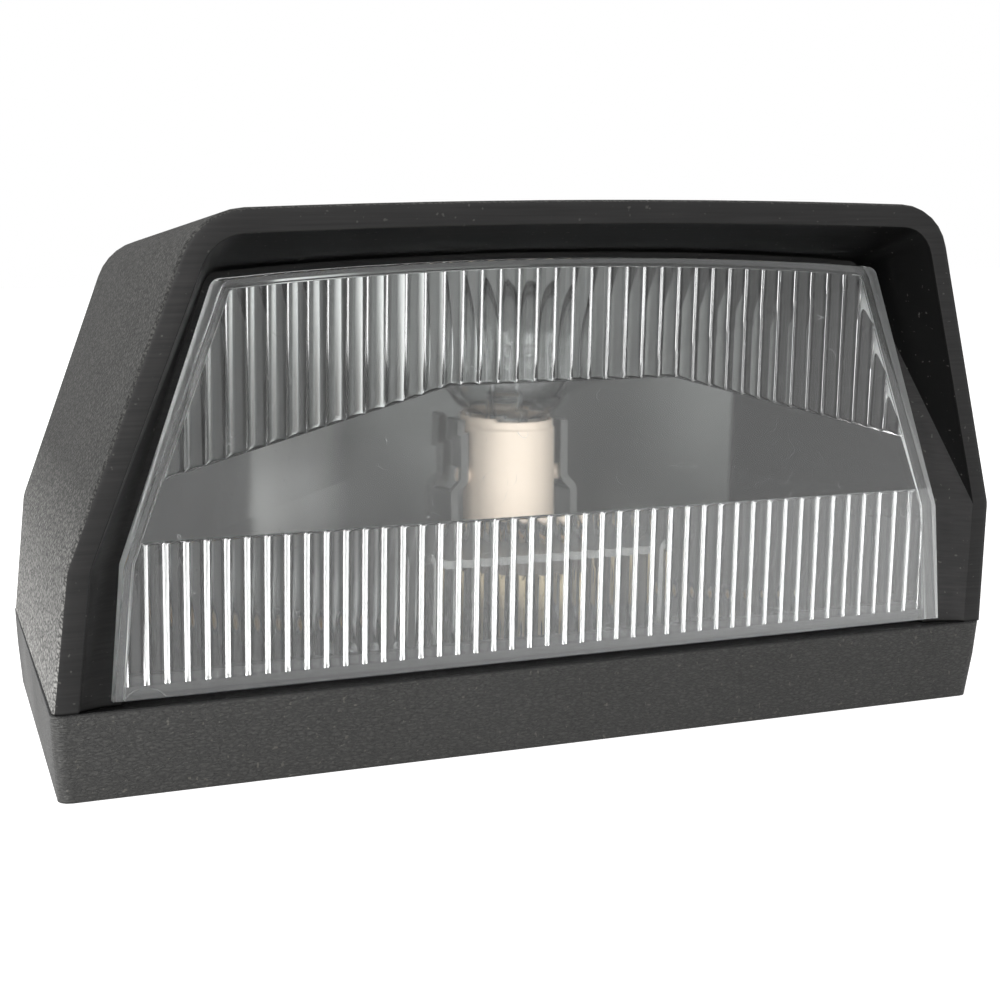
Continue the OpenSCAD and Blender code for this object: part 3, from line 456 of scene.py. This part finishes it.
def make_stem():
    """The glass stem: a flare that is fused into the neck, a tube, and a rounded bead on top."""
    low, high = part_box("bulb_stem")
    foot_r = (high.x - low.x) / 2 / MM
    foot = low.z / MM
    top = high.z / MM
    profile = [(0, foot), (foot_r, foot), (foot_r, foot + STEM_RIM)]
    for k in range(1, 9):
        share = k / 8
        sweep = 0.5 - 0.5 * math.cos(math.pi * share)
        r = foot_r + (STEM_R - foot_r) * sweep
        profile.append((r, foot + STEM_RIM + STEM_FLARE * share))
    profile += arc(STEM_R - STEM_BEAD_R, top - STEM_BEAD_R, STEM_BEAD_R, 0, 90)
    profile += [(0, top)]
    body = lathe("stem_body", profile, 64, bulb_axis())
    bores = [lead_bore(side, foot) for side in (-1, 1)]
    stem = combine("bulb_stem_drawn", body, bores, "DIFFERENCE")
    shade(stem, 50)
    return stem


def make_globe():
    """The blown globe, open at the foot of its neck, as a wall with an outside and an inside."""
    low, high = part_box("bulb_glass")
    centre = bulb_axis()
    r = (high.x - low.x) / 2 / MM
    ball_z = high.z / MM - r
    neck_low = low.z / MM

    def wall(radius, neck):
        """The outside or inside line from the neck's foot to the crown."""
        start = -math.acos(neck / radius)
        line = [(neck, neck_low), (neck, ball_z + radius * math.sin(start) - GLOBE_BLEND)]
        for k in range(41):
            a = start + (math.pi / 2 - start) * k / 40
            line.append((max(radius * math.cos(a), 0), ball_z + radius * math.sin(a)))
        return line

    outside = wall(r, GLOBE_NECK_R)
    inside = wall(r - GLASS_T, GLOBE_NECK_R - GLASS_T)
    globe = lathe("bulb_globe", outside + inside[::-1], 96, centre)
    shade(globe, 50)
    return globe


# Materials


class Shader:
    """A small helper round one material's node tree."""

    def __init__(self, name):
        self.mat = bpy.data.materials.new(name)
        self.mat.use_nodes = True
        self.tree = self.mat.node_tree
        self.bsdf = self.tree.nodes["Principled BSDF"]
        self.out = self.tree.nodes["Material Output"]
        self.coord = self.add("ShaderNodeTexCoord").outputs["Object"]

    def add(self, kind, **props):
        node = self.tree.nodes.new(kind)
        for key, value in props.items():
            setattr(node, key, value)
        return node

    def link(self, source, target):
        self.tree.links.new(source, target)

    def put(self, socket, value):
        """Set a socket to a plain value, or link an output to it."""
        if isinstance(value, bpy.types.NodeSocket):
            self.link(value, socket)
        else:
            socket.default_value = value

    def set(self, **values):
        for key, value in values.items():
            self.put(self.bsdf.inputs[key.replace("_", " ")], value)

    def parts(self, vector):
        """The X, Y and Z outputs of a vector."""
        node = self.add("ShaderNodeSeparateXYZ")
        self.link(vector, node.inputs["Vector"])
        return node.outputs

    def spot(self):
        """Where a point is in the lamp's frame."""
        return self.parts(self.coord)

    def facing(self, kind):
        """Which way a point faces: its smooth "Normal", or its face's "True Normal"."""
        return self.parts(self.add("ShaderNodeNewGeometry").outputs[kind])

    def stretched(self, scale):
        """The object's coordinates, scaled by axis."""
        node = self.add("ShaderNodeMapping")
        self.link(self.coord, node.inputs["Vector"])
        node.inputs["Scale"].default_value = scale
        return node.outputs["Vector"]

    def noise(self, scale, detail=3, roughness=0.55, vector=None, distortion=0.0):
        node = self.add("ShaderNodeTexNoise")
        self.link(vector or self.coord, node.inputs["Vector"])
        node.inputs["Scale"].default_value = scale
        node.inputs["Detail"].default_value = detail
        node.inputs["Roughness"].default_value = roughness
        node.inputs["Distortion"].default_value = distortion
        return node.outputs["Fac"]

    def cells(self, scale, feature="F1", vector=None):
        node = self.add("ShaderNodeTexVoronoi", feature=feature)
        self.link(vector or self.coord, node.inputs["Vector"])
        node.inputs["Scale"].default_value = scale
        return node.outputs["Distance"]

    def ramp(self, value, low, high, out_low=0.0, out_high=1.0):
        node = self.add("ShaderNodeMapRange")
        node.inputs["From Min"].default_value = low
        node.inputs["From Max"].default_value = high
        node.inputs["To Min"].default_value = out_low
        node.inputs["To Max"].default_value = out_high
        self.link(value, node.inputs["Value"])
        return node.outputs["Result"]

    def maths(self, operation, a, b=0.0):
        node = self.add("ShaderNodeMath", operation=operation)
        self.put(node.inputs[0], a)
        self.put(node.inputs[1], b)
        return node.outputs["Value"]

    def times(self, a, b):
        return self.maths("MULTIPLY", a, b)

    def rest(self, share):
        """What is left of 1."""
        return self.maths("SUBTRACT", 1.0, share)

    def blend(self, factor, dark, light):
        """A colour between two colours."""
        return self.mix(factor, (*dark, 1), (*light, 1))

    def mix(self, factor, low, high):
        """A colour between two outputs or colours."""
        node = self.add("ShaderNodeMix", data_type="RGBA")
        self.put(node.inputs["Factor"], factor)
        self.put(node.inputs[6], low)
        self.put(node.inputs[7], high)
        return node.outputs[2]

    def bump(self, height, distance, strength=1.0, normal=None):
        node = self.add("ShaderNodeBump")
        node.inputs["Strength"].default_value = strength
        node.inputs["Distance"].default_value = distance * MM
        self.link(height, node.inputs["Height"])
        if normal is not None:
            self.link(normal, node.inputs["Normal"])
        return node.outputs["Normal"]

    def soft_edges(self, radius):
        """The normal with edges rounded to that radius."""
        node = self.add("ShaderNodeBevel", samples=4)
        node.inputs["Radius"].default_value = radius * MM
        return node.outputs["Normal"]

    def lamps_pass(self, share):
        """Lets lamps through the surface, so that what is inside is lit."""
        path = self.add("ShaderNodeLightPath")
        clear = self.add("ShaderNodeBsdfTransparent")
        clear.inputs["Color"].default_value = (share, share, share, 1)
        mix = self.add("ShaderNodeMixShader")
        self.link(path.outputs["Is Shadow Ray"], mix.inputs["Fac"])
        self.link(self.bsdf.outputs["BSDF"], mix.inputs[1])
        self.link(clear.outputs["BSDF"], mix.inputs[2])
        self.link(mix.outputs["Shader"], self.out.inputs["Surface"])


# How far the grain's cells are warped, as a share of a cell, how wide their sloping edges are,
# and what the cells and the fine noise add to the height
GRAIN_WARP = 1.1
GRAIN_WALL = 0.32
GRAIN_PILLOW = 0.42
GRAIN_FINE = 1.1


def leather_grain(s, cell, run):
    """Height of a moulded leather grain: bumps of about that size, drawn out along axes below 1."""
    stretch = s.stretched(run)
    warp = s.add("ShaderNodeTexNoise")
    s.link(stretch, warp.inputs["Vector"])
    warp.inputs["Scale"].default_value = 0.8 / (cell * MM)
    shift = s.add("ShaderNodeVectorMath", operation="SCALE")
    s.link(warp.outputs["Color"], shift.inputs["Vector"])
    shift.inputs["Scale"].default_value = GRAIN_WARP * cell * MM
    moved = s.add("ShaderNodeVectorMath", operation="ADD")
    s.link(stretch, moved.inputs[0])
    s.link(shift.outputs["Vector"], moved.inputs[1])
    edge = s.cells(1 / (cell * MM), "DISTANCE_TO_EDGE", moved.outputs["Vector"])
    pillow = s.ramp(edge, 0.0, GRAIN_WALL)
    fine = s.noise(3 / (cell * MM), 2, 0.6, stretch)
    return s.maths("ADD", s.times(pillow, GRAIN_PILLOW), s.times(fine, GRAIN_FINE))


# The hood's middle height and how far out of the middle counts as outside, in millimetres, and
# how far a face has to be turned back or forward to count as rear or front
HOOD_MIDDLE = 25
HOOD_OUTWARD = 2
HOOD_REAR = 0.4
HOOD_FRONT = -0.5


def hood_shares(s):
    """Two shares: 1 on the hood's outer sides, roof and rear, and 1 on what faces forward."""
    normal = s.facing("True Normal")
    spot = s.spot()
    height = s.maths("SUBTRACT", spot["Z"], HOOD_MIDDLE * MM)
    across = s.times(normal["X"], spot["X"])
    up = s.times(normal["Z"], height)
    outward = s.maths("GREATER_THAN", s.maths("ADD", across, up), HOOD_OUTWARD * MM)
    rear = s.maths("GREATER_THAN", normal["Y"], HOOD_REAR)
    face = s.maths("LESS_THAN", normal["Y"], HOOD_FRONT)
    return s.times(s.maths("MAXIMUM", outward, rear), s.rest(face)), face


def left_share(s):
    """1 on what faces left and 0 elsewhere, and between the two on the rounded corners."""
    return s.ramp(s.facing("Normal")["X"], -0.85, -0.3, 1.0, 0.0)


def side_wall_share(s):
    """1 on the lens's level side walls and 0 on its front and its flutes."""
    normal = s.facing("True Normal")
    level = s.maths("LESS_THAN", s.maths("ABSOLUTE", normal["Y"]), 0.2)
    sideways = s.maths("GREATER_THAN", s.maths("ABSOLUTE", normal["X"]), 0.5)
    return s.times(level, sideways)


def seam_shade(s):
    """Painted shade: falls from 1 to 0 within a hair of the seam between hood and gasket."""
    away = s.maths("ABSOLUTE", s.maths("SUBTRACT", s.spot()["Z"], SEAM_Z * MM))
    return s.ramp(away, 0.1 * MM, 0.28 * MM, 1.0, 0.0)


def height_share(s, low, high):
    """0 below one height above the base and 1 above another."""
    return s.ramp(s.spot()["Z"], low * MM, high * MM)


def across_share(s, low, high):
    """0 left of one place across the lamp and 1 right of another."""
    return s.ramp(s.spot()["X"], low * MM, high * MM)


def fibres(s, scale, width):
    """1 along a few short hair lines."""
    line = s.maths("ABSOLUTE", s.maths("SUBTRACT", s.noise(scale, 1, 0.4), 0.5))
    thin = s.ramp(line, width, width * 2, 1.0, 0.0)
    return s.times(thin, s.ramp(s.noise(scale * 1.7, 1, 0.4), 0.6, 0.66))


def dust(s, scale, least):
    """1 on a few small specks."""
    return s.ramp(s.noise(scale, 1, 0.4), least, least + 0.05)


# Colours of the mouldings, with painted light and shade among them. A pair goes from dark to light,
# and the recess's from left to right
# Painted shade: the dark line along the seam between hood and gasket
SEAM_PAINTED_SHADE = (0.002, 0.002, 0.002, 1)
# Painted sheen: the pale colour low on the hood's left side, where grazing light falls
SIDE_LOW_PAINTED_SHEEN = ((0.06, 0.06, 0.0585), (0.36, 0.355, 0.341))
SIDE_HIGH = ((0.014, 0.014, 0.0137), (0.06, 0.0592, 0.0563))
FRAME_SKIN = ((0.02, 0.0198, 0.0198), (0.062, 0.0605, 0.06))
# Painted light and shade: the recess darker than the frame, and lighter at its left, whose wall is
# lit
RECESS_PAINTED_LIGHT_AND_SHADE = ((0.062, 0.061, 0.06), (0.0022, 0.0022, 0.0022))
HOOD_DUST = (0.16, 0.155, 0.145, 1)
# From the grain's hollows, dark with dirt and painted shade, to its tops
RUBBER = ((0.013, 0.013, 0.013), (0.074, 0.073, 0.069))
RUBBER_DUST = (0.22, 0.21, 0.18, 1)


def hood_plastic():
    """Moulded grain outside, paler low on the left side by a painted sheen, and a finely lined
    frame and recess.
    """
    s = Shader("hood_plastic")
    outer, face = hood_shares(s)
    grain = leather_grain(s, 0.46, (1, 0.4, 0.75))
    marks = s.noise(1.0, 3, 0.6, s.stretched((90, 400, 3600)))
    cloud = s.noise(45, 4, 0.6)
    # Partly painted shade: the grain's hollows take the darker colour, as dirt and as the shade in
    # them
    crease_dirt_and_shade = s.ramp(grain, 0.5, 1.0)
    # Painted sheen: low down, on what faces left, the side takes the paler colour
    no_sheen_share = s.maths("MAXIMUM", height_share(s, 9, 29.5), s.rest(left_share(s)))
    side = s.mix(no_sheen_share, s.blend(crease_dirt_and_shade, *SIDE_LOW_PAINTED_SHEEN), s.blend(crease_dirt_and_shade, *SIDE_HIGH))
    # Painted light and shade: the recess darker than the frame, and lighter towards its left
    recess = s.blend(across_share(s, -46, -34), *RECESS_PAINTED_LIGHT_AND_SHADE)
    front = s.mix(face, recess, s.blend(s.times(marks, cloud), *FRAME_SKIN))
    speck = s.times(dust(s, 1900, 0.72), 0.3)
    dusty = s.mix(speck, s.mix(outer, front, side), HOOD_DUST)
    rough = s.maths("ADD", outer, s.times(cloud, 0.4))
    plain = s.times(s.times(marks, 0.06), s.rest(outer))
    height = s.maths("ADD", s.times(grain, outer), plain)
    s.set(
        Base_Color=s.mix(seam_shade(s), dusty, SEAM_PAINTED_SHADE),
        Roughness=s.ramp(rough, 0, 1.4, 0.4, 0.74),
        Specular_IOR_Level=0.08,
        Normal=s.bump(height, 0.16, 1.0, s.soft_edges(0.3)),
    )
    return s.mat


def gasket_rubber():
    """Rubber with a grain drawn out along the level, and the seam's painted shade on its rim."""
    s = Shader("gasket_rubber")
    grain = leather_grain(s, 0.5, (0.55, 0.35, 1.5))
    cloud = s.noise(60, 4, 0.6)
    # Partly painted shade: the grain's hollows are darker, as dirt and as the shade in them
    skin = s.blend(s.ramp(grain, 0.3, 1.2), *RUBBER)
    speck = s.times(dust(s, 2000, 0.71), 0.35)
    s.set(
        Base_Color=s.mix(seam_shade(s), s.mix(speck, skin, RUBBER_DUST), SEAM_PAINTED_SHADE),
        Roughness=s.ramp(cloud, 0.3, 0.7, 0.5, 0.64),
        Specular_IOR_Level=0.35,
        Normal=s.bump(grain, 0.12, 1.0, s.soft_edges(0.25)),
    )
    return s.mat


def plain_plastic(name, colour, roughness, grain):
    """A dark moulding with a faint cloud and a fine grain of that scale."""
    s = Shader(name)
    cloud = s.noise(80, 3)
    light = tuple(c * 1.5 for c in colour)
    s.set(
        Base_Color=s.blend(cloud, colour, light),
        Roughness=s.ramp(cloud, 0.3, 0.7, roughness - 0.06, roughness + 0.06),
        Normal=s.bump(s.noise(grain, 3), 0.01, 0.8),
    )
    return s.mat


def metal(name, dark, light, roughness, stretch, depth, metallic=1.0):
    """A metal with drawn or rolled marks along the axes that stretch scales least."""
    s = Shader(name)
    marks = s.noise(1.0, 4, 0.6, s.stretched(stretch))
    cloud = s.noise(220, 3)
    s.set(
        Base_Color=s.blend(cloud, dark, light),
        Metallic=metallic,
        Roughness=s.ramp(marks, 0.25, 0.75, roughness * 0.85, roughness * 1.2),
        Normal=s.bump(marks, depth, 0.6),
    )
    return s.mat


# Colours of the reflector's sheet: painted light at the left, from dark to light, painted shade at
# the right, and a painted highlight by the fold
SHEET_LEFT_PAINTED_LIGHT = ((0.5, 0.505, 0.5), (0.58, 0.585, 0.58))
SHEET_RIGHT_PAINTED_SHADE = ((0.11, 0.113, 0.111), (0.14, 0.143, 0.141))
SHEET_FOLD_PAINTED_HIGHLIGHT = (0.88, 0.885, 0.88, 1)


def reflector_aluminium():
    """Satin sheet, rolled along its width, with a painted highlight by its left fold and painted
    shade right of it.
    """
    s = Shader("reflector_aluminium")
    marks = s.noise(1.0, 4, 0.6, s.stretched((60, 60, 1500)))
    cloud = s.noise(220, 3)
    # Painted light and shade: the sheet lighter at the left and darker right, with a painted
    # highlight by the fold
    bright = s.blend(cloud, *SHEET_LEFT_PAINTED_LIGHT)
    dull = s.blend(cloud, *SHEET_RIGHT_PAINTED_SHADE)
    leaf = s.mix(across_share(s, -12, -4), bright, dull)
    fold = s.times(across_share(s, -21, -17), s.rest(across_share(s, -13, -5)))
    s.set(
        Base_Color=s.mix(fold, leaf, SHEET_FOLD_PAINTED_HIGHLIGHT),
        Metallic=1.0,
        Roughness=s.ramp(marks, 0.25, 0.75, 0.27, 0.31),
        Normal=s.bump(marks, 0.0008, 0.5),
    )
    return s.mat


def lens_acrylic():
    """Clear moulding, scuffed, with lint and dust, matt side walls and a veiled low band."""
    s = Shader("lens_clear")
    matt = s.times(side_wall_share(s), 0.5)
    scuffs = s.noise(1.0, 5, 0.7, s.stretched((900, 200, 260)))
    lint = s.maths("MAXIMUM", fibres(s, 260, 0.0012), dust(s, 3200, 0.77))
    band_z = SEAM_Z + LOW_BAND
    low_band = s.rest(height_share(s, band_z - 0.2, band_z + 0.2))
    veil = s.times(low_band, s.ramp(across_share(s, -30, 30), 0, 1, 0.015, 0.085))
    s.set(
        Base_Color=(0.965, 0.98, 0.975, 1),
        Roughness=s.maths("MAXIMUM", s.ramp(scuffs, 0.5, 0.85, 0.07, 0.13), matt),
        IOR=1.49,
        Transmission_Weight=s.maths("SUBTRACT", s.ramp(lint, 0, 1, 0.995, 0.75), veil),
    )
    s.lamps_pass(0.86)
    return s.mat


def bulb_glass():
    """Clear glass, faintly rippled, with a few dull spots."""
    s = Shader("bulb_clear_glass")
    ripple = s.noise(190, 2)
    s.set(
        Base_Color=(0.97, 0.98, 0.975, 1),
        Roughness=s.ramp(s.noise(700, 3), 0.6, 0.8, 0.0, 0.05),
        IOR=1.5,
        Transmission_Weight=1.0,
        Normal=s.bump(ripple, 0.01, 0.4),
    )
    s.lamps_pass(0.9)
    return s.mat


# By slot: colour, roughness and scale of the fine grain
MOULDINGS = {
    "base_plastic": ((0.018, 0.018, 0.019), 0.55, 2500),
    "grommet_rubber": ((0.022, 0.022, 0.022), 0.62, 1800),
    # Painted shade: darkened below the board's own colour, for the shade it stands in inside the
    # lamp
    "disc_board": ((0.06, 0.045, 0.035), 0.5, 1500),
    "cap_black_glass": ((0.012, 0.012, 0.013), 0.16, 900),
}

# By slot: dark and light colour, roughness, scale of the marks by axis, their depth in
# millimetres, and how metallic it is where that isn't 1
METALS = {
    "insert_brass": ((0.55, 0.38, 0.17), (0.75, 0.55, 0.27), 0.3, (300, 300, 5000), 0.01),
    "screw_steel": ((0.45, 0.46, 0.47), (0.62, 0.63, 0.64), 0.32, (700, 700, 120), 0.01),
    "bracket_steel": ((0.19, 0.19, 0.185), (0.26, 0.26, 0.255), 0.38, (1500, 160, 160), 0.008),
    # Painted shade: darkened far below bare tin, for the shade that the holder's arms stand in
    "holder_tinned_steel": (
        (0.09, 0.09, 0.088), (0.15, 0.15, 0.147), 0.3, (150, 150, 2600), 0.006,
    ),
    "contact_bronze": ((0.5, 0.32, 0.17), (0.7, 0.48, 0.28), 0.28, (200, 1600, 200), 0.006),
    # Painted shade: darkened below the brass's own colour, for the shade it stands in inside the
    # lamp
    "terminal_brass": ((0.4, 0.32, 0.2), (0.56, 0.46, 0.3), 0.3, (200, 200, 1500), 0.006),
    "cap_brass": ((0.94, 0.79, 0.66), (0.98, 0.84, 0.71), 0.5, (140, 140, 3600), 0.004, 0.3),
    "contact_solder": ((0.4, 0.4, 0.41), (0.55, 0.55, 0.56), 0.42, (900, 900, 900), 0.02),
    "lead_wire": ((0.28, 0.28, 0.29), (0.4, 0.4, 0.41), 0.35, (400, 400, 4000), 0.004),
}


def dress_nodes():
    """A procedural material for each carried-over node, by its material slot."""
    mats = {slot: plain_plastic(slot, *look) for slot, look in MOULDINGS.items()}
    mats |= {slot: metal(slot, *look) for slot, look in METALS.items()}
    mats |= {
        "gasket_rubber": gasket_rubber(),
        "hood_plastic": hood_plastic(),
        "reflector_aluminium": reflector_aluminium(),
        "lens_clear": lens_acrylic(),
        "bulb_clear_glass": bulb_glass(),
    }
    slots = {p["node"]: p["material_slot"] for p in frame["record"]["subparts"]}
    for name, obj in NODES.items():
        mat = mats[slots[name]]
        if not obj.material_slots:
            obj.data.materials.append(mat)
        for held in obj.material_slots:
            held.material = mat
        smooth(obj)
    return mats


def smooth_group():
    """Geometry nodes that join split points and shade smooth all but the sharp edges."""
    group = bpy.data.node_groups.new("smooth_edges", "GeometryNodeTree")
    group.interface.new_socket("Geometry", in_out="INPUT", socket_type="NodeSocketGeometry")
    group.interface.new_socket("Geometry", in_out="OUTPUT", socket_type="NodeSocketGeometry")
    add = group.nodes.new
    link = group.links.new
    start = add("NodeGroupInput")
    end = add("NodeGroupOutput")
    plain = add("GeometryNodeRemoveAttribute")
    plain.inputs["Name"].default_value = "custom_normal"
    merge = add("GeometryNodeMergeByDistance")
    merge.inputs["Distance"].default_value = 0.001 * MM
    faces = add("GeometryNodeSetShadeSmooth")
    edges = add("GeometryNodeSetShadeSmooth")
    edges.domain = "EDGE"
    angle = add("GeometryNodeInputMeshEdgeAngle")
    flat = add("FunctionNodeCompare")
    flat.operation = "LESS_THAN"
    flat.inputs[1].default_value = math.radians(32)
    link(start.outputs[0], plain.inputs["Geometry"])
    link(plain.outputs["Geometry"], merge.inputs["Geometry"])
    link(merge.outputs["Geometry"], faces.inputs["Geometry"])
    link(faces.outputs["Geometry"], edges.inputs["Geometry"])
    link(angle.outputs["Unsigned Angle"], flat.inputs[0])
    link(flat.outputs["Result"], edges.inputs["Shade Smooth"])
    link(edges.outputs["Geometry"], end.inputs[0])
    return group


SMOOTH_GROUP = smooth_group()


def smooth(obj):
    """Round faces smooth and edges sharp on a carried-over node."""
    modifier = obj.modifiers.new("smooth_edges", "NODES")
    modifier.node_group = SMOOTH_GROUP


def place(obj, mat, slot, *nodes):
    """Give a new piece its material and its body, and hide the nodes that it stands for; slot is
    not used.
    """
    obj.data.materials.clear()
    obj.data.materials.append(mat)
    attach(obj, "root")
    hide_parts(*nodes)


# Floor, light and camera


def seen_directly(tree):
    """1 for camera, glossy and transmission rays, 0 for the light that falls on things."""
    path = tree.nodes.new("ShaderNodeLightPath")
    total = path.outputs["Is Camera Ray"]
    for name in ("Is Glossy Ray", "Is Transmission Ray"):
        most = tree.nodes.new("ShaderNodeMath")
        most.operation = "MAXIMUM"
        tree.links.new(total, most.inputs[0])
        tree.links.new(path.outputs[name], most.inputs[1])
        total = most.outputs[0]
    return total


# The floor's half width and how far it lies under the lamp, in millimetres, and its own light
FLOOR_HALF = 2000
FLOOR_DROP = 0.05
FLOOR_GLOW = 0.86


def make_floor():
    """A pale floor that reads as white where it is lit and keeps the lamp's shadow."""
    signs = ((-1, -1), (1, -1), (1, 1), (-1, 1))
    corners = [(x * FLOOR_HALF, y * FLOOR_HALF, -FLOOR_DROP) for x, y in signs]
    floor = mesh_object("floor", corners, [(0, 1, 2, 3)])
    mat = bpy.data.materials.new("floor")
    mat.use_nodes = True
    tree = mat.node_tree
    bsdf = tree.nodes["Principled BSDF"]
    bsdf.inputs["Base Color"].default_value = (0.5, 0.5, 0.5, 1)
    bsdf.inputs["Roughness"].default_value = 0.9
    bsdf.inputs["Emission Color"].default_value = (1, 1, 1, 1)
    glow = tree.nodes.new("ShaderNodeMath")
    glow.operation = "MULTIPLY"
    glow.inputs[1].default_value = FLOOR_GLOW
    tree.links.new(seen_directly(tree), glow.inputs[0])
    tree.links.new(glow.outputs[0], bsdf.inputs["Emission Strength"])
    floor.data.materials.append(mat)


def make_world():
    """White all round where it is seen, and weaker where it lights the lamp."""
    world = bpy.data.worlds.new("studio")
    bpy.context.scene.world = world
    world.use_nodes = True
    tree = world.node_tree
    sky = tree.nodes["Background"]
    sky.inputs["Color"].default_value = (1, 1, 1, 1)
    strength = tree.nodes.new("ShaderNodeMapRange")
    strength.inputs["To Min"].default_value = 0.4
    strength.inputs["To Max"].default_value = 1.0
    tree.links.new(seen_directly(tree), strength.inputs["Value"])
    tree.links.new(strength.outputs["Result"], sky.inputs["Strength"])


def area_light(name, spot, aim, size, power):
    data = bpy.data.lights.new(name, "AREA")
    data.shape = "SQUARE"
    data.size = size
    data.energy = power
    obj = bpy.data.objects.new(name, data)
    obj.location = spot
    obj.rotation_euler = (Vector(aim) - Vector(spot)).to_track_quat("-Z", "Y").to_euler()
    bpy.context.scene.collection.objects.link(obj)


def make_lights():
    middle = (0, 0, 0.03)
    area_light("key", (-0.6, -0.15, 0.3), middle, 0.25, 5.5)
    area_light("front", (-0.25, -0.72, 0.3), middle, 0.5, 1.7)
    area_light("top", (-0.1, 0.1, 0.8), middle, 0.35, 2.5)


# The photograph's camera, from the lamp's outline and depth lines
CAMERA_SPOT = (-88.85, -210.64, 52.01)
CAMERA_YAW = 23.98
CAMERA_PITCH = 7.37
CAMERA_ROLL = -0.60
CAMERA_LENS = 73.70


def make_camera():
    yaw = math.radians(CAMERA_YAW)
    pitch = math.radians(CAMERA_PITCH)
    roll = math.radians(CAMERA_ROLL)
    ahead = math.cos(pitch)
    forward = Vector((math.sin(yaw) * ahead, math.cos(yaw) * ahead, -math.sin(pitch)))
    level = Vector((math.cos(yaw), -math.sin(yaw), 0))
    up = level.cross(forward)
    right = math.cos(roll) * level + math.sin(roll) * up
    above = -math.sin(roll) * level + math.cos(roll) * up
    data = bpy.data.cameras.new("camera")
    data.lens = CAMERA_LENS
    data.sensor_width = 36
    data.clip_start = 0.01
    data.clip_end = 10
    camera = bpy.data.objects.new("camera", data)
    turn = Matrix((right, above, -forward)).transposed().to_4x4()
    camera.matrix_world = Matrix.Translation(Vector(CAMERA_SPOT) * MM) @ turn
    bpy.context.scene.collection.objects.link(camera)
    bpy.context.scene.camera = camera


mats = dress_nodes()
place(make_lens(), mats["lens_clear"], "lens_clear", "lens")
place(make_globe(), mats["bulb_clear_glass"], "bulb_clear_glass", "bulb_glass")
place(make_cap(), mats["cap_brass"], "cap_brass", "bulb_cap")
place(make_stem(), mats["bulb_clear_glass"], "bulb_clear_glass", "bulb_stem")
make_floor()
make_world()
make_lights()
make_camera()
bpy.context.scene.view_settings.view_transform = "Standard"
